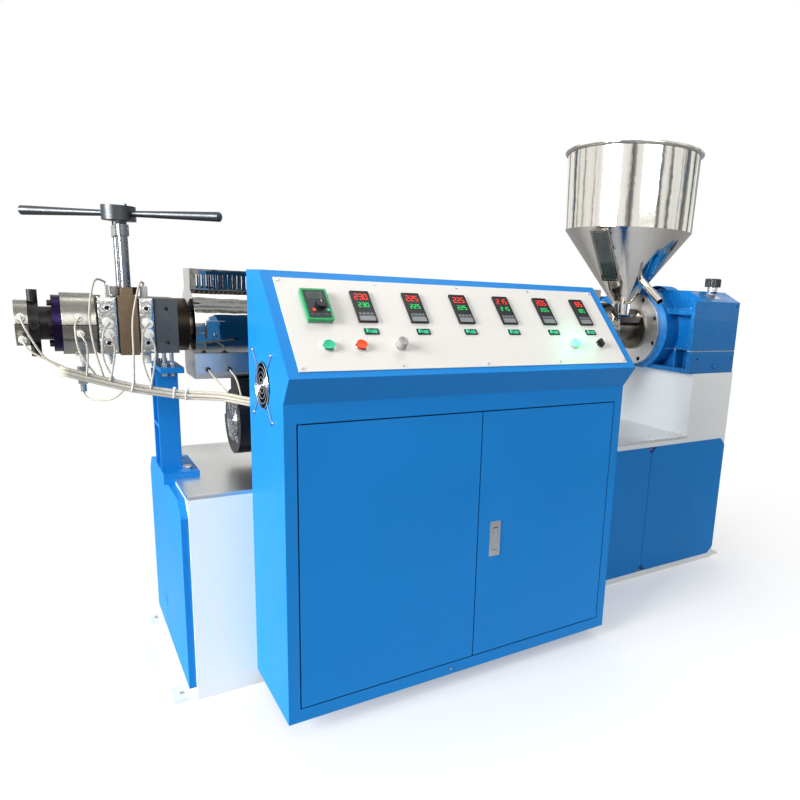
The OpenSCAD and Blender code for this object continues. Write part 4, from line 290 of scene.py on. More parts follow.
def piece(name: str, shells: Sequence[Shell], finishes: Sequence["Finish"],
          at: Matrix = Matrix(), body: str = "machine", stands_for: Sequence[str] = (),
          bevel: float = 0.0) -> bpy.types.Object:
    """Makes one object of the scene from shells and puts it on its body.

    Args:
        name: The piece's name.
        shells: What it is made of, in millimetres.
        finishes: Its finishes, in the order of the shells' finish numbers.
        at: Frame that the shells are in, given in the row frame.
        body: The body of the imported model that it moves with.
        stands_for: The nodes that it takes the place of.
        bevel: Width of an edge bevel in millimetres, or 0 for none.

    Returns:
        The new object.
    """
    verts, faces, smooth, slots = joined([s.placed(at) for s in shells])
    mesh = bpy.data.meshes.new(name)
    mesh.from_pydata((verts * MM).tolist(), [], faces)
    mesh.polygons.foreach_set("use_smooth", smooth)
    mesh.polygons.foreach_set("material_index", slots)
    mesh.update()
    obj = add_object(name, mesh)
    for finish in finishes:
        mesh.materials.append(finish.material())
    if bevel:
        mod = obj.modifiers.new("edge", "BEVEL")
        mod.width = bevel * MM
        mod.segments = 2
        mod.limit_method = "ANGLE"
        mod.angle_limit = math.radians(40)
    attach(obj, body)
    if stands_for:
        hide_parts(*stands_for)
    log.info("%s: %d faces on %s", name, len(faces), body)
    return obj


def along(origin: Sequence[float], axis: Sequence[float],
          up: Sequence[float] = (0, 0, 1)) -> Matrix:
    """A frame whose Z follows an axis and whose X lies as near to a second one as it can.

    Args:
        origin: Its origin.
        axis: Direction of its Z.
        up: Direction that its X leans to.

    Returns:
        The frame as a 4x4 matrix.
    """
    z = Vector(axis).normalized()
    x = Vector(up) - z * Vector(up).dot(z)
    if x.length < 1e-6:
        x = Vector((1, 0, 0)) - z * z.x
    x.normalize()
    y = z.cross(x)
    return Matrix(((x.x, y.x, z.x, origin[0]), (x.y, y.y, z.y, origin[1]),
                   (x.z, y.z, z.z, origin[2]), (0, 0, 0, 1)))


# Finishes


def srgb(code: str) -> tuple[float, float, float, float]:
    """Turns an sRGB colour to a linear one: c / 12.92, or ((c + 0.055) / 1.055) ^ 2.4.

    Args:
        code: Hex colour, with its number sign.

    Returns:
        Linear red, green, blue and an alpha of 1.
    """
    v = [int(code[i:i + 2], 16) / 255 for i in (1, 3, 5)]
    lin = [c / 12.92 if c <= 0.04045 else ((c + 0.055) / 1.055) ** 2.4 for c in v]
    return (lin[0], lin[1], lin[2], 1.0)


def node(tree: bpy.types.NodeTree, kind: str, inputs: Optional[dict] = None,
         **settings: object) -> bpy.types.Node:
    """Adds a node with its settings and links.

    Args:
        tree: The tree that it goes into.
        kind: Its type.
        inputs: For each input a plain value, or the socket that is linked to it.
        **settings: Its other properties.

    Returns:
        The new node.
    """
    n = tree.nodes.new(kind)
    for key, value in settings.items():
        setattr(n, key, value)
    for key, value in (inputs or {}).items():
        if isinstance(value, bpy.types.NodeSocket):
            tree.links.new(value, n.inputs[key])
        else:
            n.inputs[key].default_value = value
    return n


class Texture(Enum):
    """What a surface's small relief comes from, with the pattern's scale along X, Y and Z.

    The scales of the three even reliefs differ by a thousandth, so that each is an option of
    its own.
    """

    PLAIN = (1.0, 1.0, 1.0)
    ORANGE_PEEL = (1.0, 1.0, 1.001)
    BRUSHED_X = (0.017, 1.0, 1.0)
    TURNED = (3.0, 0.3, 0.3)
    CAST = (1.0, 1.0, 1.002)
    WOVEN = (1.0, 1.0, 1.003)


@dataclass(frozen=True)
class Zone:
    """A box of the row frame, in millimetres, where a finish changes to another one.

    Attributes:
        low: Lowest corner, in the frame of turn.
        high: Highest corner.
        colour: sRGB hex colour inside.
        roughness: Roughness inside.
        metallic: 1 for bare metal inside.
        origin: Origin of the box's own frame.
        turn: Turn of that frame about X, in degrees.
    """

    low: tuple[float, float, float]
    high: tuple[float, float, float]
    colour: str
    roughness: float
    metallic: float = 1.0
    origin: tuple[float, float, float] = (0.0, 0.0, 0.0)
    turn: float = 0.0

    def mask(self, tree: bpy.types.NodeTree, place: bpy.types.NodeSocket) -> bpy.types.NodeSocket:
        """Adds nodes that give 1 inside the box: all of |p - centre| / half are below 1.

        Args:
            tree: The material's node tree.
            place: Position in metres.

        Returns:
            The mask's socket.
        """
        low, high = np.array(self.low), np.array(self.high)
        local = node(tree, "ShaderNodeMapping",
                     {"Vector": place, "Location": Vector(self.origin) * MM,
                      "Rotation": Euler((math.radians(self.turn), 0, 0))}, vector_type="TEXTURE")
        unit = node(tree, "ShaderNodeMapping",
                    {"Vector": local.outputs[0], "Location": tuple((low + high) / 2 * MM),
                     "Scale": tuple((high - low) / 2 * MM)}, vector_type="TEXTURE")
        size = node(tree, "ShaderNodeVectorMath", {0: unit.outputs[0]}, operation="ABSOLUTE")
        part = node(tree, "ShaderNodeSeparateXYZ", {0: size.outputs[0]})
        most = node(tree, "ShaderNodeMath", {0: part.outputs[0], 1: part.outputs[1]},
                    operation="MAXIMUM")
        most = node(tree, "ShaderNodeMath", {0: most.outputs[0], 1: part.outputs[2]},
                    operation="MAXIMUM")
        return node(tree, "ShaderNodeMath", {0: most.outputs[0], 1: 1.0},
                    operation="LESS_THAN").outputs[0]


@dataclass(frozen=True)
class Finish:
    """One surface finish, drawn by a procedural material.

    Attributes:
        name: The real material and how its surface was made.
        colour: sRGB hex colour.
        roughness: Microfacet roughness, from 0 to 1.
        metallic: 1 for bare metal.
        texture: The kind of relief.
        grain_mm: Size of the relief's pattern in millimetres.
        relief: Strength of the relief, from 0 to 1.
        tint: Second colour that a slow change over the surface mixes in.
        patch_mm: Size of that slow change in millimetres.
        uneven: How far roughness drifts up and down with it.
        coat: Weight of a clear coat.
        glow: Strength of light that the surface gives off.
        edge_mm: Width of the rounding that edges show.
        wear: Colour that rubbed edges show, and on the blue casting a painted highlight along its
            edges, or none.
        zones: Boxes where another finish takes over.
    """

    name: str
    colour: str
    roughness: float
    metallic: float = 0.0
    texture: Texture = Texture.PLAIN
    grain_mm: float = 1.0
    relief: float = 0.1
    tint: str = ""
    patch_mm: float = 60.0
    uneven: float = 0.05
    coat: float = 0.0
    glow: float = 0.0
    edge_mm: float = 1.2
    wear: str = ""
    zones: tuple[Zone, ...] = ()

    def material(self) -> bpy.types.Material:
        """Makes the material of this finish once, and then shares it.

        Returns:
            The material.
        """
        known = bpy.data.materials.get(self.name)
        if known:
            return known
        mat = bpy.data.materials.new(self.name)
        mat.use_nodes = True
        tree = mat.node_tree
        shader = tree.nodes["Principled BSDF"]
        shader.inputs["Metallic"].default_value = self.metallic
        shader.inputs["Coat Weight"].default_value = self.coat
        if self.glow:
            shader.inputs["Emission Color"].default_value = srgb(self.colour)
            shader.inputs["Emission Strength"].default_value = self.glow
        place = node(tree, "ShaderNodeTexCoord").outputs["Object"]
        spot = node(tree, "ShaderNodeMapping",
                    {"Vector": place, "Scale": (1 / (self.patch_mm * MM),) * 3})
        patch = node(tree, "ShaderNodeTexNoise",
                     {"Vector": spot.outputs[0], "Scale": 1.0, "Detail": 4.0}).outputs["Fac"]
        colour = node(tree, "ShaderNodeMix", {0: patch, 6: srgb(self.colour),
                                              7: srgb(self.tint or self.colour)},
                      data_type="RGBA").outputs[2]
        rough = node(tree, "ShaderNodeMapRange",
                     {"Value": patch, "From Min": NOISE_SPAN[0], "From Max": NOISE_SPAN[1],
                      "To Min": max(self.roughness - self.uneven, 0.02),
                      "To Max": self.roughness + self.uneven}).outputs["Result"]
        metal = self.metallic
        edge = node(tree, "ShaderNodeBevel", {"Radius": self.edge_mm * MM}, samples=4)
        # Edge colour: real rubbing on the steels, painted highlight in the blue casting's pale
        # blue.
        if self.wear:
            colour = node(tree, "ShaderNodeMix", {0: self._rubbed(tree, edge, patch), 6: colour,
                                                  7: srgb(self.wear)},
                          data_type="RGBA").outputs[2]
        for zone in self.zones:
            inside = zone.mask(tree, place)
            colour = node(tree, "ShaderNodeMix", {0: inside, 6: colour, 7: srgb(zone.colour)},
                          data_type="RGBA").outputs[2]
            rough = node(tree, "ShaderNodeMix", {0: inside, 2: rough, 3: zone.roughness}).outputs[0]
            metal = node(tree, "ShaderNodeMix", {0: inside, 2: metal, 3: zone.metallic}).outputs[0]
        normal = edge.outputs["Normal"]
        if self.texture is not Texture.PLAIN:
            normal = self._relief(tree, place, normal)
        tree.links.new(colour, shader.inputs["Base Color"])
        tree.links.new(rough, shader.inputs["Roughness"])
        if self.zones:
            tree.links.new(metal, shader.inputs["Metallic"])
        tree.links.new(normal, shader.inputs["Normal"])
        return mat

    def _relief(self, tree: bpy.types.NodeTree, place: bpy.types.NodeSocket,
                normal: bpy.types.NodeSocket) -> bpy.types.NodeSocket:
        """Adds nodes that tilt the normal by noise stretched along the texture's axes.

        Args:
            tree: The material's node tree.
            place: Position in metres.
            normal: The normal of the smooth surface.

        Returns:
            The socket of the tilted normal.
        """
        grain_m = self.grain_mm * MM
        spot = node(tree, "ShaderNodeMapping",
                    {"Vector": place, "Scale": tuple(s / grain_m for s in self.texture.value)})
        grain = node(tree, "ShaderNodeTexNoise",
                     {"Vector": spot.outputs[0], "Scale": 1.0, "Detail": 3.0})
        return node(tree, "ShaderNodeBump",
                    {"Height": grain.outputs["Fac"], "Normal": normal, "Strength": self.relief,
                     "Distance": grain_m / 2}).outputs["Normal"]

    def _rubbed(self, tree: bpy.types.NodeTree, edge: bpy.types.Node,
                patch: bpy.types.NodeSocket) -> bpy.types.NodeSocket:
        """Adds nodes that give 1 on rubbed edges, which carry a painted highlight on the blue
        casting: where the rounded normal parts from the true.

        Args:
            tree: The material's node tree.
            edge: The node that rounds the edges.
            patch: Slow noise that breaks the rubbing and the painted edge highlight into patches.

        Returns:
            The mask's socket.
        """
        true = node(tree, "ShaderNodeNewGeometry").outputs["Normal"]
        same = node(tree, "ShaderNodeVectorMath", {0: edge.outputs["Normal"], 1: true},
                    operation="DOT_PRODUCT")
        bend = node(tree, "ShaderNodeMapRange", {"Value": same.outputs["Value"],
                                                 "From Min": WEAR_AND_HIGHLIGHT_BEND[0],
                                                 "From Max": WEAR_AND_HIGHLIGHT_BEND[1]})
        where = node(tree, "ShaderNodeMapRange", {"Value": patch, "From Min": WEAR_AND_HIGHLIGHT_PATCH[0],
                                                  "From Max": WEAR_AND_HIGHLIGHT_PATCH[1],
                                                  "To Max": WEAR_AND_HIGHLIGHT_MOST})
        return node(tree, "ShaderNodeMath", {0: bend.outputs[0], 1: where.outputs[0]},
                    operation="MULTIPLY").outputs[0]


# Semi-gloss stove enamel on sheet steel: even, saturated colour with a faint orange peel.
BLUE_ENAMEL = Finish("steel_blue_stove_enamel", "#007fc4", 0.45, texture=Texture.ORANGE_PEEL,
                     grain_mm=2.5, relief=0.06, tint="#0087ce", patch_mm=240, edge_mm=2.0)
# The same enamel in white, a little glossier.
WHITE_ENAMEL = Finish("steel_white_stove_enamel", "#eceeee", 0.36, texture=Texture.ORANGE_PEEL,
                      grain_mm=2.5, relief=0.05, tint="#e5e7e7", patch_mm=300, edge_mm=2.0)
# Cast iron under thick sprayed enamel: soft lumps, a bare joint line, and pale blue corners that
# are partly rubbed paint and partly painted highlight.
BLUE_CASTING = Finish("cast_iron_blue_enamel", "#0f7cbe", 0.24, texture=Texture.CAST,
                      grain_mm=9.0, relief=0.30, tint="#0a70b0", patch_mm=45, uneven=0.10,
                      coat=0.3, edge_mm=3.0, wear="#8fb4d4",
                      zones=(Zone((780, -400, 908), (1060, 400, 911.5), "#c9d2d8", 0.45, 0.6),
                             Zone((950, -225, 1144.5), (1020, -155, 1163.5), "#d2d2ce", 0.3),
                             Zone((950, -225, 1163.5), (1020, -155, 1200), "#3c4245", 0.45, 0.0)))
# Thin enamelled sheet of the console: smoother, a trace warmer.
PANEL_WHITE = Finish("console_sheet_white_enamel", "#dbd8d4", 0.40, texture=Texture.ORANGE_PEEL,
                     grain_mm=1.5, relief=0.03, tint="#d5d2cd", patch_mm=200, edge_mm=0.8)
# Stainless sheet, bright annealed: mirrors its surroundings with a slow waviness.
BRIGHT_STAINLESS = Finish("stainless_sheet_bright_annealed", "#dcdad6", 0.09, 1.0,
                          texture=Texture.CAST, grain_mm=90.0, relief=0.03, tint="#d0ccc5",
                          patch_mm=120, uneven=0.03)
# Stainless sheet with a rolled grain along X, which stretches every highlight crosswise.
BRUSHED_STAINLESS = Finish("stainless_sheet_brushed", "#eef0f2", 0.30, 1.0,
                           texture=Texture.BRUSHED_X, grain_mm=0.8, relief=0.08,
                           tint="#e0e1e2", patch_mm=150)
# Turned steel: fine rings square to the axis, a soft wide highlight.
TURNED_STEEL = Finish("carbon_steel_turned", "#efeeec", 0.36, 1.0, texture=Texture.TURNED,
                      grain_mm=1.2, relief=0.10, tint="#dedcd8", patch_mm=30)
# Steel that heat and oil have darkened unevenly, worn bright on its corners.
DARK_STEEL = Finish("tool_steel_heat_darkened", "#6b6761", 0.34, 1.0, texture=Texture.CAST,
                    grain_mm=3.0, relief=0.10, tint="#8b857b", patch_mm=18, wear="#b8b3aa")
# The barrel: the same steel, its flange at the head burnt nearly black.
BARREL_STEEL = Finish("tool_steel_heat_darkened_barrel", "#6b6761", 0.34, 1.0,
                      texture=Texture.CAST, grain_mm=3.0, relief=0.10, tint="#8b857b",
                      patch_mm=18, wear="#b8b3aa",
                      zones=(Zone((-1030, -80, 900), (-994, 80, 1056), "#37302a", 0.38),))
# Band heaters: stainless sleeves, brushed round the head and dulled by heat.
BAND_STAINLESS = Finish("stainless_sleeve_brushed_heat_dulled", "#a3a19b", 0.27, 1.0,
                        texture=Texture.TURNED, grain_mm=1.0, relief=0.10, tint="#8e8b84",
                        patch_mm=26)
# The shroud: bright sheet, its colour darkened below that of real stainless as a painted darker
# reflection of the room.
COVER_STAINLESS = Finish("stainless_sheet_shroud_painted_dark_reflection", "#9a9996", 0.08, 1.0,
                         texture=Texture.CAST, grain_mm=90.0, relief=0.03, tint="#8c8a86",
                         patch_mm=120, uneven=0.03)
# Black oxide: a near black skin that corners lose first.
BLACK_STEEL = Finish("tool_steel_black_oxide", "#2b2b2e", 0.40, 0.7, texture=Texture.CAST,
                     grain_mm=2.0, relief=0.10, tint="#46433f", patch_mm=22, wear="#85807a")
# Heater blocks: black oxide with a stainless cover plate on each side face.
HEATER_BLOCKS = Finish("tool_steel_black_oxide_with_plates", "#2b2b33", 0.42, 0.7,
                       texture=Texture.CAST, grain_mm=2.0, relief=0.12, tint="#4a4640",
                       patch_mm=22, wear="#77726c",
                       zones=(Zone((-1230, -80, 880), (-1070, -70.2, 1060), "#cfd2d4", 0.22),
                              Zone((-1230, 70.2, 880), (-1070, 80, 1060), "#cfd2d4", 0.22)))
# Oiled phosphate: dark grey satin on the T handle.
HANDLE_STEEL = Finish("carbon_steel_phosphated_oiled", "#5d6063", 0.38, 0.8,
                      texture=Texture.CAST, grain_mm=1.5, relief=0.06, tint="#4b4e52",
                      patch_mm=40, wear="#8b8e90")
# The adapter's flame-cut block: matt grey scale.
ADAPTER_STEEL = Finish("tool_steel_phosphated_grey", "#6a6c6e", 0.5, 0.6, texture=Texture.CAST,
                       grain_mm=2.5, relief=0.14, tint="#5b5d5f", patch_mm=14, wear="#9a9b9a")
# Oxide colours that heat gives tool steel: straw brown on the changer, purple on the flange.
BROWN_STEEL = Finish("tool_steel_heat_tinted_brown", "#93836f", 0.36, 1.0, texture=Texture.CAST,
                     grain_mm=2.5, relief=0.10, tint="#7d6c58", patch_mm=16, wear="#a89c8c")
PURPLE_STEEL = Finish("tool_steel_heat_tinted_purple", "#382a50", 0.30, 1.0,
                      texture=Texture.CAST, grain_mm=2.0, relief=0.06, tint="#2b2140",
                      patch_mm=14)
# Ground columns: bright and streaked lengthwise.
GROUND_STEEL = Finish("carbon_steel_ground", "#8e9296", 0.24, 1.0, texture=Texture.TURNED,
                      grain_mm=0.8, relief=0.06, tint="#74787d", patch_mm=20)
# Bright zinc plate: bluish, faintly cloudy.
ZINC = Finish("steel_bright_zinc_plate", "#cfd3d8", 0.22, 1.0, texture=Texture.CAST,
              grain_mm=6.0, relief=0.04, tint="#bcc0c6", patch_mm=12)
# Pressed steatite under a thin glaze: milky white.
CERAMIC = Finish("steatite_ceramic_pressed", "#f0f0ea", 0.34, texture=Texture.CAST,
                 grain_mm=2.0, relief=0.06, tint="#e6e5dc", patch_mm=14, coat=0.3)
# Moulded plastic: fine spark-eroded grain, a satin gloss.
BLACK_ABS = Finish("abs_black_moulded", "#1b1b1e", 0.38, texture=Texture.CAST, grain_mm=0.6,
                   relief=0.08, tint="#222226", patch_mm=20)
# The blower and the cabinet fan: black mouldings behind chromed wire guards.
FAN_BLACK = Finish("steel_black_enamel_with_chromed_guard", "#1d1e21", 0.36,
                   texture=Texture.CAST, grain_mm=3.0, relief=0.08, tint="#26272b",
                   zones=(Zone((-910, -560, 780), (-900.05, -300, 960), "#d5d8db", 0.18),
                          Zone((-886, -58, 642), (-880.2, 58, 758), "#d5d8db", 0.18)))
# Green case of the keypad, its lowest 5.5 mm painted grey as shade along its foot.
GREEN_ABS = Finish("abs_green_moulded", "#14a862", 0.30, texture=Texture.CAST, grain_mm=0.8,
                   relief=0.06, tint="#0f9a58", coat=0.3,
                   zones=(Zone((60, 140, 1.9), (160, 260, 7.5), "#868f92", 0.4, 0.0,
                               (-900, -613.5, 904), 46.5482),))
# Clear-dyed caps in even colour. Their faint glow is the lamp in the lit rocker switches, and
# painted light on the keys and the buttons.
GREEN_CAP = Finish("polycarbonate_green_moulded", "#2cb88e", 0.34, tint="#27ab83",
                   patch_mm=15, glow=0.12)
RED_CAP = Finish("polycarbonate_red_moulded", "#e8511f", 0.34, tint="#da4a1b",
                 patch_mm=15, glow=0.12)
GREY_ABS = Finish("abs_warm_grey_moulded", "#a9a8a5", 0.40, texture=Texture.CAST, grain_mm=0.8,
                  relief=0.06, tint="#9c9a96")
# Braided sleeve: the weave is drawn at 1.4 mm, twice as coarse as real, so that it shows.
SLEEVE = Finish("glass_fibre_sleeve_braided", "#cbc6ba", 0.78, texture=Texture.WOVEN,
                grain_mm=1.4, relief=0.5, tint="#aca596", patch_mm=9)
# Undyed nylon: milky, a little translucent to the eye.
NYLON = Finish("nylon_natural_moulded", "#e2e0d9", 0.45, tint="#d6d3ca",
               patch_mm=12)
# Rubber, cast iron and polyamide of the pieces inside.
BELT_RUBBER = Finish("rubber_belt_moulded", "#1c1c1f", 0.7, texture=Texture.WOVEN, grain_mm=1.0,
                     relief=0.2, tint="#29292c", patch_mm=40)
MOTOR_ENAMEL = Finish("cast_iron_grey_enamel", "#4d6470", 0.4, texture=Texture.CAST,
                      grain_mm=5.0, relief=0.15, tint="#435863")
SWITCHGEAR = Finish("polyamide_grey_moulded", "#c3c6c4", 0.5, texture=Texture.CAST,
                    grain_mm=1.0, relief=0.05, tint="#b5b9b7")
# Bezels: bright plated rings, with black frames round the rocker switches.
BEZELS = Finish("zinc_alloy_bright_chrome", "#d9dadb", 0.16, 1.0, texture=Texture.CAST,
                grain_mm=3.0, relief=0.02, tint="#cfd0d2", patch_mm=25,
                zones=(Zone((0, 115, 2.05), (1100, 145, 6), "#141416", 0.35, 0.0,
                            (-900, -613.5, 904), 46.5482),))
# Black glass-clear acrylic over the displays, and what glows behind it.
WINDOW = Finish("acrylic_black_polished", "#0d0e0f", 0.30, tint="#131416", patch_mm=30)
# Printed films and lit segments of the controllers and the keypad.
KEY_BAND = Finish("polyester_overlay_grey", "#4d5053", 0.42, tint="#46494c", patch_mm=20)
SILVER_BAND = Finish("polyester_overlay_silver", "#8d9194", 0.45, 0.3, tint="#84888b",
                     patch_mm=20)
RED_LED = Finish("epoxy_led_segment_red", "#ff2c0e", 0.4, tint="#f4240a", patch_mm=6,
                 glow=1.3)
GREEN_LED = Finish("epoxy_led_segment_green", "#10e878", 0.4, tint="#0cdc70", patch_mm=6,
                   glow=1.0)
LAMP_LENS = Finish("polycarbonate_lamp_lens_lit", "#86f0c2", 0.3, tint="#7ae9b9", patch_mm=10,
                   glow=0.45)
LCD = Finish("liquid_crystal_grey_film", "#4c5a50", 0.25, tint="#465349", patch_mm=12)
KEYPAD_FRONT = Finish("polyester_overlay_dark", "#2b3436", 0.4, tint="#252d2f", patch_mm=20)
# Dull acrylic sight pane, painted dark as the shade inside the hopper behind it.
PANE = Finish("acrylic_sheet_painted_inner_shade", "#343a3a", 0.12, coat=0.5, tint="#596260", patch_mm=30)
# What shows through the pane: dark granules heaped in the cone.
GRANULES = Finish("polymer_granules_behind_acrylic", "#22302f", 0.25, texture=Texture.CAST,
                  grain_mm=4.0, relief=0.15, tint="#3a4a47", patch_mm=9)
# Black oxide socket heads, and the bottoms of holes as dark discs of painted shade: no highlight at
# all.
HOLE_BLACK = Finish("black_oxide_screws_and_painted_hole_shade", "#0b0b0c", 0.7, tint="#141416", patch_mm=8)
# The same enamel in the panels' cut corners, where less light falls.
SHADED_BLUE = Finish("steel_blue_stove_enamel_shaded", "#004a86", 0.45,
                     texture=Texture.ORANGE_PEEL, grain_mm=2.5, relief=0.06, tint="#00528f")
# Thin stamped sheet: dents as wide as a fingertip break its reflections up.
STAMPED_STAINLESS = Finish("stainless_sheet_stamped", "#e6e6e4", 0.16, 1.0, texture=Texture.CAST,
                           grain_mm=14.0, relief=0.20, tint="#cfcdc8", patch_mm=18,
                           edge_mm=0.4)
# Chromed wire: hard bright lines.
CHROME_WIRE = Finish("steel_wire_bright_chrome", "#eceef0", 0.22, 1.0, edge_mm=0.1,
                     tint="#dfe2e6", patch_mm=8)

DRESS: dict[str, Finish] = {
    "base_frame": WHITE_ENAMEL, "deck_plate": BRUSHED_STAINLESS, "cover_panels": BLUE_ENAMEL,
    "support_post": BLUE_ENAMEL, "bright_fittings": ZINC, "head_bolts": BLACK_STEEL,
    "cabinet_shell": BLUE_ENAMEL, "left_door": BLUE_ENAMEL, "right_door": BLUE_ENAMEL,
    "lock_body": ZINC, "lock_handle": ZINC, "console_panel": PANEL_WHITE,
    "keypad": GREEN_ABS, "keypad_dial": BLACK_ABS, "run_key": GREEN_CAP, "stop_key": RED_CAP,
    "controllers": BLACK_ABS, "operator_bezels": BEZELS, "start_button": GREEN_CAP,
    "stop_button": RED_CAP, "speed_knob": GREY_ABS, "selector_knob": BLACK_ABS,
    "fan_housings": FAN_BLACK, "fan_rotor": BLACK_ABS, "blower_wheel": TURNED_STEEL,
    "cabinet_equipment": SWITCHGEAR, "head_blocks": HEATER_BLOCKS, "heaters": BAND_STAINLESS,
    "ceramic_terminals": CERAMIC, "changer_body": BROWN_STEEL, "screen_slide": BLACK_STEEL,
    "lift_frame": GROUND_STEEL, "lift_screw": GROUND_STEEL, "handle": HANDLE_STEEL,
    "head_adapter": ADAPTER_STEEL, "die_flange": PURPLE_STEEL, "die_body": BLACK_STEEL,
    "heater_cables": SLEEVE, "hopper": BRIGHT_STAINLESS, "sight_window": BRIGHT_STAINLESS,
    "barrel": BARREL_STEEL, "barrel_cover": COVER_STAINLESS, "lower_box": BRUSHED_STAINLESS,
    "feed_section": DARK_STEEL, "screw": TURNED_STEEL, "gear_flange": TURNED_STEEL,
    "gearbox_case": BLUE_CASTING, "gearbox_cover": BLUE_CASTING, "bull_gear": TURNED_STEEL,
    "layshaft": TURNED_STEEL, "input_shaft": TURNED_STEEL, "motor": MOTOR_ENAMEL,
    "motor_rotor": TURNED_STEEL, "drive_belts": BELT_RUBBER,
    **{f"rocker_{i}": GREEN_CAP for i in range(1, 7)}}


def dress_frame() -> None:
    """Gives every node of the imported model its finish."""
    for name, finish in DRESS.items():
        obj = frame["nodes"][name]
        for held in obj.material_slots:
            held.material = finish.material()
        log.info("%s: %s", name, finish.name)


# Cords


@dataclass
class HeaterCables:
    """The sleeved heater cables: a tied bundle of five and the leads that branch off it.

    Attributes:
        radius: Radius of a cable in the bundle.
        lead_radius: Radius of a lead.
        count: Cables in the bundle.
        spread: Distance of the cables from the bundle's middle, over their radius.
        stub: Straight length where a lead enters its terminal.
        steps: Steps of a cord's line from one way point to the next.
        sides: Sides of a cable's and of a lead's section.
        fine: Steps between way points that places on the route are counted in.
        route: Middle of the bundle, from the head to the cabinet.
        leads: Way into the terminal, its face, the cable joined, the place on it, way points.
        ties: Places of the cable ties on the route, counted in way points.
        tie: Half width and thickness of a tie's band.
        lock: Length, width, height, corner and chamfer of a tie's lock.
    """

    radius: float = 4.5
    lead_radius: float = 2.4
    count: int = 5
    spread: float = 1.8
    stub: float = 4.0
    steps: int = 4
    sides: tuple[int, int] = (12, 10)
    fine: int = 100
    route: tuple = ((-1300, -112, 872), (-1205, -118, 842), (-1137, -128, 824),
                    (-1036, -146, 806), (-952, -190, 804), (-895, -240, 796),
                    (-850, -278, 790), (-850, -330, 788))
    leads: tuple = (
        ((0, 1, 0), (-1369, -72, 996), 1, 0.1, ((-1362, -98, 972), (-1330, -106, 905))),
        ((0, 1, 0), (-1369, -72, 942), 1, 0.3, ((-1352, -100, 915),)),
        ((0, 1, 0), (-1251, -85, 998), 1, 0.8, ((-1262, -112, 975), (-1256, -118, 915))),
        ((0, 1, 0), (-1251, -85, 958), 0, 0.6, ((-1240, -114, 925),)),
        ((0, 1, 0), (-1189.5, -94.5, 985), 1, 1.25, ((-1205, -124, 960), (-1208, -126, 900))),
        ((0, 1, 0), (-1189.5, -94.5, 959), 0, 1.1, ((-1182, -124, 920),)),
        ((0, 1, 0), (-1101, -94.5, 985), 1, 2.35, ((-1118, -126, 960), (-1122, -134, 890))),
        ((0, 1, 0), (-1101, -94.5, 959), 0, 2.3, ((-1092, -128, 915),)),
        ((0, 0, -1), (-1189.5, -40, 1078), 1, 0.95,
         ((-1214, -86, 1086), (-1230, -112, 1010), (-1226, -126, 930))),
        ((0, 0, -1), (-1101, -40, 1078), 1, 1.9,
         ((-1116, -92, 1082), (-1138, -122, 1000), (-1142, -132, 920))),
        ((0, 0, 1), (-1250, 0, 802.5), 4, 1.6, ((-1238, -34, 786), (-1196, -96, 794))),
        ((0, 1, 0), (-960, -80, 862), 1, 4.3, ((-948, -132, 838),)),
        ((0, 1, 0), (-905, -80, 862), 2, 4.7, ((-898, -140, 838),)))
    ties: tuple[float, ...] = (1.85, 2.8, 3.1, 5.3)
    tie: tuple[float, float] = (2.0, 1.0)
    lock: tuple[float, ...] = (7.0, 6.0, 5.0, 1.0, 0.6)

    def cable(self, k: int) -> np.ndarray:
        """Way points of one cable: the route moved by spread r (e cos 72k + z sin 72k).

        Args:
            k: Number of the cable.

        Returns:
            Its way points, where e is square to the route and level.
        """
        p = np.array(self.route, float)
        last = len(p) - 1
        i = np.arange(len(p))
        d = p[np.minimum(i + 1, last)] - p[np.maximum(i - 1, 0)]
        e = np.cross(d, [0, 0, 1])
        e /= np.linalg.norm(e, axis=1)[:, None]
        a = 2 * math.pi * k / self.count
        return p + self.radius * self.spread * (e * math.cos(a) + np.array([0, 0, math.sin(a)]))

    def place(self, points: np.ndarray, t: float) -> np.ndarray:
        """The point at place t, counted in way points, of the smooth line through them."""
        return spline(points, self.fine)[round(self.fine * t)]

    def cord(self, name: str, route: np.ndarray, radius: float, sides: int) -> None:
        """Args:
            name: The piece's name.
            route: Points of its middle line in millimetres, from its exit on.
            radius: Its radius.
            sides: Sides of its round section.
        """
        obj = piece(name, [sweep(route, radius, sides)], [SLEEVE],
                    stands_for=["heater_cables"])

    def tie_shells(self) -> list[Shell]:
        """Shapes the cable ties.

        Returns:
            The band and the lock of each tie.
        """
        line = spline(np.array(self.route, float), self.fine)
        half, thick = self.tie
        length, width, tall, corner, edge = self.lock
        r = self.radius * (self.spread + 1)
        shells = []
        for t in self.ties:
            i = round(self.fine * t)
            at = along(line[i], line[i + 1] - line[i - 1])
            band = lathe([(-half, r), (-half, r + thick), (half, r + thick), (half, r)], 32,
                         ring=True)
            lock = block(length, width, r, r + tall, corner, edge)
            shells += [band.placed(at), lock.placed(at @ Matrix.Rotation(math.pi / 2, 4, "Y"))]
        return shells

    def build(self) -> None:
        """Makes the bundle, its leads and its ties."""
        for k in range(self.count):
            self.cord(f"bundle_cable_{k + 1}", spline(self.cable(k), self.steps)[::-1],
                      self.radius, self.sides[0])
        for n, (into, face, k, t, way) in enumerate(self.leads):
            start, into = np.array(face, float), np.array(into, float)
            route = spline([start, start - into * self.stub, start - into * 2 * self.stub, *way,
                            self.place(self.cable(k), t)], self.steps)
            self.cord(f"heater_lead_{n + 1}", route, self.lead_radius, self.sides[1])
        piece("cable_ties", self.tie_shells(), [NYLON])


# Console


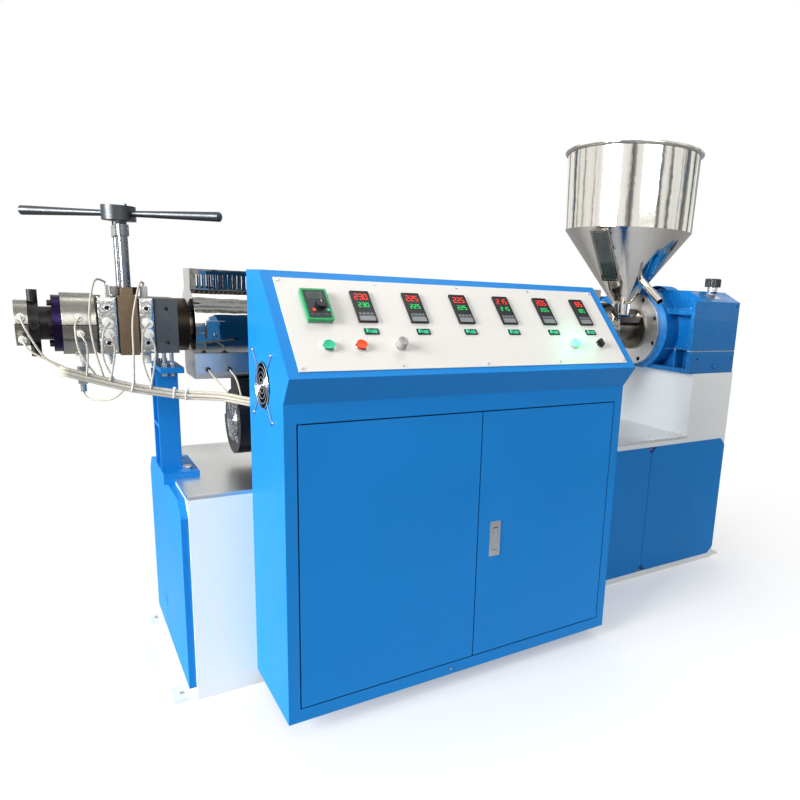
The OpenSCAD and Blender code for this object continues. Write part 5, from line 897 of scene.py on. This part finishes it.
class Segment(Enum):
    """The seven bars of a digit: place of each one's middle and whether it stands upright."""

    TOP = (0.0, 1.0, False)
    UPPER_LEFT = (-0.5, 0.5, True)
    UPPER_RIGHT = (0.5, 0.5, True)
    MIDDLE = (0.0, 0.0, False)
    LOWER_LEFT = (-0.5, -0.5, True)
    LOWER_RIGHT = (0.5, -0.5, True)
    BOTTOM = (0.0, -1.0, False)


# Which bars each digit lights, in the order of Segment.
BARS = {"0": "1110111", "1": "0010010", "2": "1011101", "3": "1011011", "4": "0111010",
        "5": "1101011", "6": "1101111", "7": "1010010", "8": "1111111", "9": "1111011"}


@dataclass
class Console:
    """Displays, dials, lens and caps on the sloping panel.

    Attributes:
        origin: Lower left corner of the slope.
        slope: Tilt of the panel in degrees.
        thick: Thickness of the panel.
        first: Place of the first controller's middle along the panel.
        pitch: Distance between controllers.
        up: Height of the controllers' middle on the panel.
        face: Height of a controller's window above the panel.
        shown: Number on each controller.
        bar: Heights of a digit's bar's foot and top.
        stroke: Width of a bar, over the digit's width.
        row: Height of the row of buttons, knobs and lens on the panel.
        keypad: Middle of the keypad's front, and its height above the panel.
        dial: Middle of the keypad's dial, and the height of its top.
        knob: The same for the speed knob, whose middle lies on the row.
        lamp_x: Place of the lens along the panel.
        lens_r: Radius of the lens.
        lens_h: Heights of its wall's foot and top, and how far its dome rises above that.
        films: Width, height, top, corner, place and finish number of a controller's films.
        key: Width, height, foot, top, corner and chamfer of a controller's key.
        key_up: Place of the row of keys up the face.
        keys: Places of the keys along the face.
        digits: First middle, pitch, place, width, height and finish number of each number.
        pad: Width, height, foot, top, corner and chamfer of the keypad's front.
        screen: The same for its small display.
        screen_up: Place of the display up the front.
        pad_key: The same sizes for one of its flat keys.
        pad_key_up: Place of those keys up the front.
        pad_keys: Their places along the front.
        pad_digits: First middle, pitch, place, width and height of the display's digits.
        mark: Width, height, foot, top, corner and chamfer of an index mark.
        mark_up: Distance of the mark's middle from its knob's axis.
        buttons: Node, place along the panel, finish and slot of each cap.
        cap: Profile of a cap's side, as heights and radii.
        dish: Height and radius of a cap's dished top, and its depth.
    """

    origin: tuple[float, float, float] = (-900.0, -613.5, 904.0)
    slope: float = 46.5482
    thick: float = 2.0
    first: float = 226.2
    pitch: float = 139.6
    up: float = 204.7
    face: float = 5.0
    shown: tuple[int, ...] = (230, 225, 225, 215, 205, 185)
    bar: tuple[float, float] = (0.05, 0.25)
    stroke: float = 0.15
    row: float = 85.5
    keypad: tuple[float, float, float] = (106.5, 200.5, 14.0)
    dial: tuple[float, float, float] = (114.5, 197.5, 23.4)
    knob: tuple[float, float] = (288.6, 22.4)
    lamp_x: float = 837.0
    lens_r: float = 13.1
    lens_h: tuple[float, float, float] = (5.0, 13.4, 1.4)
    films: tuple = ((41.4, 62.0, 0.05, 1.5, 13.5, 0), (41.4, 11.4, 0.08, 1.0, -23.6, 1),
                    (41.4, 14.6, 0.08, 1.5, -37.0, 2))
    key: tuple[float, ...] = (6.4, 5.0, 0.0, 0.5, 1.0, 0.2)
    key_up: float = -23.6
    keys: tuple[float, ...] = (-15.0, -5.0, 5.0, 15.0)
    digits: tuple = ((-12, 12, 30, 9.5, 18, 3), (-9, 10, 4, 7.5, 13.5, 4))
    pad: tuple[float, ...] = (53.0, 84.0, 0.0, 0.25, 3.0, 0.1)
    screen: tuple[float, ...] = (38.0, 20.0, 0.2, 0.5, 1.5, 0.1)
    screen_up: float = 25.0
    pad_key: tuple[float, ...] = (9.0, 6.0, 0.2, 0.8, 1.5, 0.2)
    pad_key_up: float = -32.0
    pad_keys: tuple[float, ...] = (-17.0, -3.0, 17.0)
    pad_digits: tuple[float, ...] = (-10.0, 9.0, 25.0, 6.5, 12.0)
    mark: tuple[float, ...] = (1.4, 8.0, 0.0, 0.3, 0.5, 0.0)
    mark_up: float = 4.5
    buttons: tuple = (("start_button", 108.4, GREEN_CAP, "green_cap"),
                      ("stop_button", 187.0, RED_CAP, "red_cap"))
    cap: tuple = ((-6, 11), (9.2, 11), (9.3, 12.5), (10.4, 12.7), (10.9, 12.2))
    dish: tuple[float, float, float] = (10.6, 11.6, 0.9)

    def at(self, x: float, s: float, out: float = 0.0) -> Matrix:
        """A frame on the panel's face.

        Args:
            x: Place along the panel.
            s: Place up the panel.
            out: Distance from its face.

        Returns:
            The frame, with X along the panel, Y up it and Z out of it.
        """
        turn = Matrix.Rotation(math.radians(self.slope), 4, "X")
        shift = Matrix.Translation((x, s, self.thick + out))
        return Matrix.Translation(Vector(self.origin)) @ turn @ shift

    def digit(self, value: str, x: float, y: float, width: float, height: float,
              slot: int) -> list[Shell]:
        """The lit bars of one digit.

        Args:
            value: The digit.
            x: Middle of the digit along the panel.
            y: Middle of the digit up the panel.
            width: Width of the digit.
            height: Height of the digit.
            slot: Number of the bars' finish.

        Returns:
            One shell for each bar.
        """
        thick = width * self.stroke
        shells = []
        for lit, bar in zip(BARS[value], Segment):
            if lit == "0":
                continue
            sx, sy, upright = bar.value
            long = (height / 2 if upright else width) - thick * 0.9
            w, h = (thick, long) if upright else (long, thick)
            middle = (x + sx * (width - thick), y + sy * (height - thick) / 2)
            shells.append(block(w, h, *self.bar, thick * 0.35, 0.0, middle).coloured(slot))
        return shells

    def controller(self, i: int) -> None:
        """Makes the face of one controller: window, numbers, key band and lower bar.

        Args:
            i: Number of the controller, from the left.
        """
        shells = [block(width, height, 0.0, top, corner, 0.0, (0, y)).coloured(slot)
                  for width, height, top, corner, y, slot in self.films]
        shells += [block(*self.key, (x, self.key_up)).coloured(2) for x in self.keys]
        for k, value in enumerate(str(self.shown[i])):
            for first, pitch, y, width, height, slot in self.digits:
                shells += self.digit(value, first + pitch * k, y, width, height, slot)
        piece(f"controller_face_{i + 1}", shells,
              [WINDOW, KEY_BAND, SILVER_BAND, RED_LED, GREEN_LED],
              self.at(self.first + self.pitch * i, self.up, self.face))

    def keypad_face(self) -> None:
        """Makes the dark front of the keypad, its small display and its flat keys."""
        shells = [block(*self.pad), block(*self.screen, (0, self.screen_up)).coloured(1)]
        first, pitch, y, width, height = self.pad_digits
        rise = Matrix.Translation((0, 0, self.screen[3] - 0.1))
        for k in range(3):
            shells += [s.placed(rise)
                       for s in self.digit("0", first + pitch * k, y, width, height, 2)]
        shells += [block(*self.pad_key, (x, self.pad_key_up)).coloured(3)
                   for x in self.pad_keys]
        piece("keypad_face", shells, [KEYPAD_FRONT, LCD, BLACK_ABS, KEY_BAND],
              self.at(*self.keypad))

    def lamp(self) -> None:
        """Makes the pilot lamp's lens: a wall, then a quarter ellipse turned round its axis."""
        a = np.linspace(0, math.pi / 2, 9)[1:]
        foot, wall, dome = self.lens_h
        profile = [(foot, self.lens_r), (wall, self.lens_r)]
        profile += [(wall + dome * math.sin(t), self.lens_r * math.cos(t) + POLE) for t in a]
        piece("lamp_lens", [lathe(profile, 48)], [LAMP_LENS],
              self.at(self.lamp_x, self.row))

    def caps(self) -> None:
        """Makes the wide caps of the buttons: discs dished by depth (1 - (r / R)^2)."""
        top, radius, deep = self.dish
        dish = [(top - deep * (1 - r ** 2), radius * r + POLE) for r in np.linspace(1, 0, 7)]
        for name, x, finish, slot in self.buttons:
            piece(f"{name}_cap", [lathe([*self.cap, *dish], 64)], [finish],
                  self.at(x, self.row), body=name, stands_for=[name])

    def pointers(self) -> None:
        """Makes the index marks on the dials, each riding with its knob."""
        mark = [block(*self.mark, (0, self.mark_up))]
        piece("keypad_dial_mark", mark, [NYLON], self.at(*self.dial),
              body="keypad_dial")
        piece("speed_knob_mark", mark, [WINDOW],
              self.at(self.knob[0], self.row, self.knob[1]), body="speed_knob")

    def build(self) -> None:
        """Makes every piece of the console's looks."""
        for i in range(len(self.shown)):
            self.controller(i)
        self.keypad_face()
        self.lamp()
        self.caps()
        self.pointers()


# Head, hopper, cabinet and base: the small pieces that the frame leaves out


@dataclass
class Head:
    """Stamped cover sheets of the heater blocks and the glands of the leads.

    Attributes:
        axis_h: Height of the screw's axis.
        face: Distance of the plates' faces from the middle plane.
        middles: Middle of each heater block along X.
        widths: Width of each block's plates.
        tall: Height of a plate.
        hole: Offset of the thermometer holes above and below the axis.
        grid: Rows and columns of a sheet's surface.
        base: Height of a sheet's rim above the block.
        bulge: How far its middle stands out.
        dent: Depth of its dents.
        waves: Factors of the dents' two sines: of u and v in one, of v and u in the other.
        power: How square the bulge is.
        screw_in: Distance of its screws from each end and each side, both together.
        screw: Profile of a screw, as heights and radii.
        collar: Profile of the collar round a hole.
        socket: Profile of the dark disc in a hole, painted shade of the hole's depth.
        gland: Profile of a gland.
        glands: Places of the glands along X.
        gland_y: Place of the box's face that carries them.
        gland_h: Their height.
    """

    axis_h: float = 978.0
    face: float = 75.0
    middles: tuple[float, float] = (-1189.5, -1101.0)
    widths: tuple[float, float] = (41.0, 32.0)
    tall: float = 142.0
    hole: float = 44.0
    grid: tuple[int, int] = (72, 24)
    base: float = 0.5
    bulge: float = 1.1
    dent: float = 0.16
    waves: tuple[int, int, int, int] = (23, 9, 31, -7)
    power: int = 8
    screw_in: tuple[float, float] = (13.0, 11.0)
    screw: tuple = ((0.4, 2.9), (2.2, 2.9), (2.9, 2.0), (2.9, 1.2), (2.3, 0.01))
    collar: tuple = ((0.2, 7.8), (2.1, 7.4), (2.1, 5.2), (0.2, 5.2))
    socket: tuple = ((1.2, 5.4), (1.85, 5.4), (1.85, 0.01))
    gland: tuple = ((0, 6.5), (7, 6.5), (8, 5.5), (12, 4.6), (12, 2.6), (0, 2.6))
    glands: tuple[float, float] = (-960.0, -905.0)
    gland_y: float = -81.0
    gland_h: float = 862.0

    def sheet(self, width: float) -> list[Shell]:
        """A closed stamped sheet: h = base + bulge (1 - |2u|^n)(1 - |2v|^n) + dents.

        The dents are two crossed sine waves, faded out at the rim like the bulge.

        Args:
            width: Width of the sheet.

        Returns:
            Shells in the plate's frame, X up and Z outwards.
        """
        rows, cols = self.grid
        u = np.linspace(-0.5, 0.5, rows)[:, None]
        v = np.linspace(0.5, -0.5, cols)[None, :]
        rise = (1 - np.abs(2 * u) ** self.power) * (1 - np.abs(2 * v) ** self.power)
        a, b, c, d = self.waves
        dents = self.dent * np.sin(a * u + b * v) * np.sin(c * v + d * u) * rise
        x, y = u * (self.tall - 3) + 0 * v, v * (width - 3) + 0 * u
        top = np.stack([x, y, self.base + self.bulge * rise + dents], -1)
        under = np.stack([x, y, self.base + 0 * rise], -1)[-2:0:-1]
        shells = [grid_shell(np.concatenate([top, under]), close_u=True),
                  block(self.tall - 2, width - 2, 0.0, 0.4, 2.0, 0.2)]
        for x0 in (-self.hole, self.hole):
            shift = Matrix.Translation((x0, 0, 0))
            # Each hole gets a collar and a dark disc of painted shade at its bottom.
            shells += [lathe(self.collar, 32, ring=True).placed(shift),
                       lathe(self.socket, 24).coloured(1).placed(shift)]
        for up in (-0.5, 0.5):
            for side in (-0.5, 0.5):
                shift = Matrix.Translation((up * (self.tall - self.screw_in[0]),
                                            side * (width - self.screw_in[1]), 0))
                shells.append(lathe(self.screw, 20).placed(shift))
        return shells

    def build(self) -> None:
        """Makes the cover sheets and the glands."""
        for n, (x, width) in enumerate(zip(self.middles, self.widths)):
            for side, word in ((-1, "front"), (1, "back")):
                piece(f"heater_sheet_{n + 1}_{word}", self.sheet(width),
                      [STAMPED_STAINLESS, HOLE_BLACK],
                      along((x, side * self.face, self.axis_h), (0, side, 0)))
        glands = [lathe(self.gland, 24, ring=True).placed(
            along((x, self.gland_y, self.gland_h), (0, -1, 0))) for x in self.glands]
        piece("cable_glands", glands, [BLACK_ABS])


@dataclass
class Hopper:
    """Pane of the sight window, with granules showing through its lower third.

    Attributes:
        foot: Middle of the cone's lower edge.
        foot_r: Radius there.
        rim_r: Radius of the cone's upper edge.
        rise: Height of the cone.
        turn: Direction of the window round the hopper, in degrees.
        start: Distance of the window's frame up the cone.
        size: Height and width of the pane.
        frame: Width of the window's frame.
        level: Share of the pane that the granules fill.
        skin: Distances of the pane's back and front from the cone.
    """

    foot: tuple[float, float, float] = (659.0, 0.0, 1080.0)
    foot_r: float = 37.0
    rim_r: float = 250.0
    rise: float = 281.0
    turn: float = -160.0
    start: float = 113.0
    size: tuple[float, float] = (208.0, 57.0)
    frame: float = 9.0
    level: float = 0.36
    skin: tuple[float, float] = (5.6, 6.1)

    def build(self) -> None:
        """Makes the pane in its frame's plane: X up the cone, Z out of it."""
        a = math.radians(self.turn)
        slant = math.hypot(self.rise, self.rim_r - self.foot_r)
        out, up = (self.rim_r - self.foot_r) / slant, self.rise / slant
        side = Vector((math.cos(a), math.sin(a), 0))
        climb = side * out + Vector((0, 0, up))
        tall, wide = self.size
        middle = Vector(self.foot) + side * self.foot_r + climb * (
            self.start + self.frame + tall / 2)
        clear = 1 - self.level
        shells = [block(tall * clear, wide, *self.skin, 0.8, 0.1, (tall * self.level / 2, 0)),
                  block(tall * self.level, wide, *self.skin, 0.8, 0.1,
                        (-tall * clear / 2, 0)).coloured(1)]
        piece("sight_pane", shells, [PANE, GRANULES],
              along(middle, side * up - Vector((0, 0, out)), climb))


@dataclass
class FanGuard:
    """Chromed wire rings that fill the guards of the cabinet fan and the blower.

    Attributes:
        wire: Radius of a wire.
        steps: Steps of a ring round its axis and round the wire.
        guards: Name and middle of each guard and the radii of its added rings.
    """

    wire: float = 1.2
    steps: tuple[int, int] = (64, 8)
    guards: tuple = (("cabinet", (-903.4, -410, 863), (8, 20, 32, 44, 56)),
                     ("blower", (-883.6, 0, 700), (12, 24, 36, 48, 60)))

    def ring(self, radius: float) -> Shell:
        """A ring round X: a circle of the wire's radius carried round a larger circle.

        Args:
            radius: Radius of the ring's middle line.

        Returns:
            The closed ring about the origin.
        """
        a = np.linspace(0, 2 * math.pi, self.steps[0], endpoint=False)[:, None]
        b = np.linspace(0, 2 * math.pi, self.steps[1], endpoint=False)[None, :]
        reach = radius + self.wire * np.cos(b)
        return grid_shell(np.stack([-self.wire * np.sin(b) + 0 * a, reach * np.cos(a),
                                    reach * np.sin(a)], -1), close_u=True, close_v=True)

    def build(self) -> None:
        """Makes the rings of both guards."""
        for name, middle, radii in self.guards:
            piece(f"{name}_guard_rings", [self.ring(r) for r in radii], [CHROME_WIRE],
                  Matrix.Translation(middle))


@dataclass
class Fasteners:
    """Screws, notch plates and the breather's ribbed cap.

    Attributes:
        notch_x: Place of the notches between the front cover panels along X.
        sill: Lower edge of the panels.
        head: Upper edge of the panels.
        cut: Width of a panel's cut corner.
        panel_face: Back of the plates, a hair in front of the base frame.
        plate: Thickness of a notch plate.
        screw_r: Radius of its screws.
        screws: Places of its screws along the plate.
        screw_up: Their height on it.
        breather: Middle of the breather's cap at its foot.
        cap_r: Radius of that cap.
        cap_h: Height of that cap.
        lobes: Ribs round it.
        rib: Height of a rib.
        flange: Face of the gearbox flange on its axis.
        pitch_r: Radius of the circle of its holes.
        holes: Number of its holes.
        head_r: Radius of a socket screw's head.
        head_h: Height of that head.
        sunk: How far it lies below the face.
    """

    notch_x: float = 611.5
    sill: float = 24.0
    head: float = 540.0
    cut: float = 28.0
    panel_face: float = -281.55
    plate: float = 1.2
    screw_r: float = 3.0
    screws: tuple[float, float] = (-17.0, -5.0)
    screw_up: float = 7.0
    breather: tuple[float, float, float] = (983.0, -190.0, 1163.5)
    cap_r: float = 30.0
    cap_h: float = 33.0
    lobes: int = 18
    rib: float = 1.3
    flange: tuple[float, float, float] = (733.0, 0.0, 978.0)
    pitch_r: float = 130.0
    holes: int = 8
    head_r: float = 8.3
    head_h: float = 9.0
    sunk: float = 4.0

    def notch_plates(self) -> None:
        """Makes the blue corner plates behind the notches, each with two screws."""
        shells, heads = [], []
        wedge = np.array([(-self.cut, 0), (self.cut, 0), (0, self.cut)])
        r = self.screw_r
        screw = lathe([(0, r), (0.3 * r, r), (0.6 * r, 0.7 * r), (0.62 * r, 0.4 * r),
                       (0.3 * r, POLE)], 20)
        for z, turn in ((self.sill, 1), (self.head, -1)):
            at = along((self.notch_x, self.panel_face, z), (0, -1, 0), (turn, 0, 0))
            shells.append(prism(wedge, 0, self.plate).placed(at))
            heads += [screw.placed(at @ Matrix.Translation((x * turn, self.screw_up, self.plate)))
                      for x in self.screws]
        piece("notch_plates", shells, [SHADED_BLUE])
        piece("notch_screws", heads, [ZINC])

    def flange_screws(self) -> None:
        """Makes the black socket screws in the holes of the gearbox flange."""
        r, h = self.head_r, self.head_h
        head = lathe([(0, r), (h - 0.6, r), (h, r - 0.6), (h, 0.55 * r), (h - 5, 0.52 * r),
                      (h - 5.2, POLE)], 24)
        step = 360 / self.holes
        heads = []
        for a in np.radians(step / 2 + step * np.arange(self.holes)):
            middle = np.array(self.flange) + (self.sunk + h, self.pitch_r * math.cos(a),
                                              self.pitch_r * math.sin(a))
            heads.append(head.placed(along(middle, (-1, 0, 0))))
        piece("flange_screws", heads, [HOLE_BLACK])

    def breather_cap(self) -> None:
        """Makes the ribbed cap: radius R + rib cos(n a) between its two eased rims."""
        a = np.linspace(0, 2 * math.pi, self.lobes * 8, endpoint=False)
        rows = [(0.0, self.cap_r - 1), (1.5, self.cap_r + 0.3),
                (self.cap_h - 3, self.cap_r + 0.3), (self.cap_h + 0.4, self.cap_r - 4)]
        wave = self.rib * np.cos(self.lobes * a)
        points = np.stack([np.stack([(r + wave) * np.cos(a), (r + wave) * np.sin(a),
                                     np.full_like(a, h)], -1) for h, r in rows])
        piece("breather_cap", [grid_shell(points, close_v=True, caps=True, smooth=False)],
              [BLACK_ABS], Matrix.Translation(self.breather), bevel=0.4)

    def build(self) -> None:
        """Makes the plates, the screws and the cap."""
        self.notch_plates()
        self.flange_screws()
        self.breather_cap()


# Surroundings


@dataclass(frozen=True)
class AreaLight:
    """A square lamp that faces its target. Its places and sizes are metres.

    Attributes:
        name: Its name.
        place: Its position.
        size: Side of its square.
        power: Its power in watts.
        target: The point that it faces.
        colour: Its linear colour.
    """

    name: str
    place: tuple[float, float, float]
    size: float
    power: float
    target: tuple[float, float, float] = (0.0, 0.0, 0.8)
    colour: tuple[float, float, float] = (1.0, 1.0, 1.0)

    def build(self) -> None:
        """Adds the lamp to the scene."""
        data = bpy.data.lights.new(self.name, "AREA")
        data.size = self.size
        data.energy = self.power
        data.color = self.colour
        lamp = add_object(self.name, data)
        lamp.location = self.place
        aim = Vector(self.target) - Vector(self.place)
        lamp.rotation_euler = aim.to_track_quat("-Z", "Y").to_euler()


@dataclass
class Studio:
    """Camera, floor and soft lights.

    Attributes:
        eye: Camera position in millimetres.
        yaw: Turn of the view from +Y towards +X, in degrees.
        pitch: Downward tilt, in degrees.
        roll: Turn about the view axis, in degrees.
        lens: Focal length over image width.
        centre: Where the view axis meets the 800 pixel square image.
        image: Width of that image in pixels.
        sensor: Width of the camera's sensor in millimetres.
        ambient: Light of the surroundings on dull surfaces.
        tint: Their linear colour.
        gleam: Their strength in bright metal.
        stripes: Places and colours of the stripes that bright metal mirrors.
        bounce: Light that the far floor throws back.
        fade: Distances in metres between which shadows on the floor fade out, and the share
            that is faded from the start.
        reach: Half the floor's side in metres.
        gap: Distance of the floor below the feet in metres.
        gamma: Gamma of the picture.
        lights: The lamps.
    """

    eye: tuple[float, float, float] = (-1321.8, -2003.3, 1109.4)
    yaw: float = 34.07
    pitch: float = 11.93
    roll: float = 2.69
    lens: float = 659.9 / 800
    centre: tuple[float, float] = (489.0, 429.7)
    image: float = 800.0
    sensor: float = 36.0
    ambient: float = 0.45
    tint: tuple[float, float, float] = (0.97, 0.985, 1.0)
    gleam: float = 1.25
    stripes: tuple = ((0.36, "#6c7a86"), (0.43, "#a9a59a"), (0.47, "#f2f2f0"),
                      (0.60, "#ffffff"), (0.66, "#9eb0bf"))
    bounce: float = 0.45
    fade: tuple[float, float, float] = (0.4, 2.4, 0.35)
    reach: float = 30.0
    gap: float = 0.0005
    gamma: float = 0.85
    lights: tuple[AreaLight, ...] = (
        AreaLight("left", (-9.0, -1.8, 3.2), 4.5, 1450, (0, -0.3, 0.9)),
        AreaLight("front", (-0.8, -6.0, 3.6), 3.5, 104),
        AreaLight("lamp_halo", (-0.041, -0.590, 1.02), 0.02, 0.05, (-0.063, -0.555, 0.966),
                  (0.1, 1.0, 0.5)),
        AreaLight("top", (0.8, 1.3, 5.0), 3.5, 110))

    def camera(self) -> None:
        """Places the scene's camera at the photograph's view."""
        data = bpy.data.cameras.new("view")
        data.sensor_width = self.sensor
        data.lens = self.sensor * self.lens
        data.shift_x = -(self.centre[0] - self.image / 2) / self.image
        data.shift_y = (self.centre[1] - self.image / 2) / self.image
        data.clip_end = 100.0
        cam = add_object("view", data)
        y, p, r = (math.radians(v) for v in (self.yaw, self.pitch, self.roll))
        forward = Vector((math.sin(y) * math.cos(p), math.cos(y) * math.cos(p), -math.sin(p)))
        right = Vector((math.cos(y), -math.sin(y), 0))
        up = right.cross(forward)
        right2 = right * math.cos(r) + up * math.sin(r)
        up2 = up * math.cos(r) - right * math.sin(r)
        rot = Matrix((right2, up2, -forward)).transposed().to_4x4()
        cam.matrix_world = Matrix.Translation(Vector(self.eye) * MM) @ rot
        bpy.context.scene.camera = cam

    def room(self) -> None:
        """Makes surroundings white to the camera and striped, pale and dim, to bright metal."""
        world = bpy.data.worlds.new("room")
        bpy.context.scene.world = world
        world.use_nodes = True
        tree = world.node_tree
        way = node(tree, "ShaderNodeTexCoord").outputs["Generated"]
        tall = node(tree, "ShaderNodeMapping", {"Vector": way, "Scale": (5.0, 5.0, 0.5)})
        bars = node(tree, "ShaderNodeTexNoise", {"Vector": tall.outputs[0], "Scale": 1.0,
                                                 "Detail": 3.0, "Roughness": 0.6})
        ramp = node(tree, "ShaderNodeValToRGB", {"Fac": bars.outputs["Fac"]})
        stops = ramp.color_ramp.elements
        for place, code in self.stripes:
            stop = stops.new(place)
            stop.color = srgb(code)
        stops.remove(stops[0])
        stops.remove(stops[-1])
        ray = node(tree, "ShaderNodeLightPath")
        dull = tuple(self.ambient * c for c in self.tint) + (1.0,)
        lit = node(tree, "ShaderNodeMix", {0: ray.outputs["Is Glossy Ray"], 6: dull,
                                           7: ramp.outputs["Color"]}, data_type="RGBA")
        seen = node(tree, "ShaderNodeMix", {0: ray.outputs["Is Camera Ray"], 6: lit.outputs[2],
                                            7: (1.0, 1.0, 1.0, 1.0)}, data_type="RGBA")
        power = node(tree, "ShaderNodeMapRange", {"Value": ray.outputs["Is Glossy Ray"],
                                                  "To Min": 1.0, "To Max": self.gleam})
        back = tree.nodes["Background"].inputs
        tree.links.new(seen.outputs[2], back["Color"])
        tree.links.new(power.outputs[0], back["Strength"])

    def floor(self) -> None:
        """Makes a white floor with soft shadows near the machine, which meets the room."""
        mat = bpy.data.materials.new("floor_white_paper")
        mat.use_nodes = True
        tree = mat.node_tree
        paint = tree.nodes["Principled BSDF"]
        paint.inputs["Base Color"].default_value = srgb("#f2f2f2")
        paint.inputs["Roughness"].default_value = 0.9
        place = node(tree, "ShaderNodeTexCoord").outputs["Object"]
        far = node(tree, "ShaderNodeVectorMath", {0: place}, operation="LENGTH")
        near, end, least = self.fade
        fade = node(tree, "ShaderNodeMapRange", {"Value": far.outputs["Value"], "From Min": near,
                                                 "From Max": end, "To Min": least},
                    interpolation_type="SMOOTHSTEP")
        ray = node(tree, "ShaderNodeLightPath")
        bright = node(tree, "ShaderNodeMapRange", {"Value": ray.outputs["Is Camera Ray"],
                                                   "To Min": self.bounce, "To Max": 1.0})
        glow = node(tree, "ShaderNodeEmission", {"Strength": bright.outputs[0]})
        both = node(tree, "ShaderNodeMixShader", {0: fade.outputs[0], 1: paint.outputs[0],
                                                  2: glow.outputs[0]})
        tree.links.new(both.outputs[0], tree.nodes["Material Output"].inputs["Surface"])
        mesh = bpy.data.meshes.new("floor")
        side = np.array([[-1, -1, 0], [1, -1, 0], [1, 1, 0], [-1, 1, 0]]) * self.reach
        mesh.from_pydata((side - [0, 0, self.gap]).tolist(), [], [(0, 1, 2, 3)])
        mesh.materials.append(mat)
        floor = add_object("floor", mesh)

    def build(self) -> None:
        """Adds the camera, the lights, the pale surroundings and the floor."""
        self.camera()
        for light in self.lights:
            light.build()
        bpy.context.scene.view_settings.view_transform = "Standard"
        bpy.context.scene.view_settings.gamma = self.gamma
        self.room()
        self.floor()


def main() -> None:
    """Builds the whole scene and reports each piece."""
    logging.basicConfig(level=logging.INFO, format="%(message)s")
    Studio().build()
    HeaterCables().build()
    dress_frame()
    Console().build()
    Head().build()
    Hopper().build()
    FanGuard().build()
    Fasteners().build()


if __name__ == "__main__":
    main()
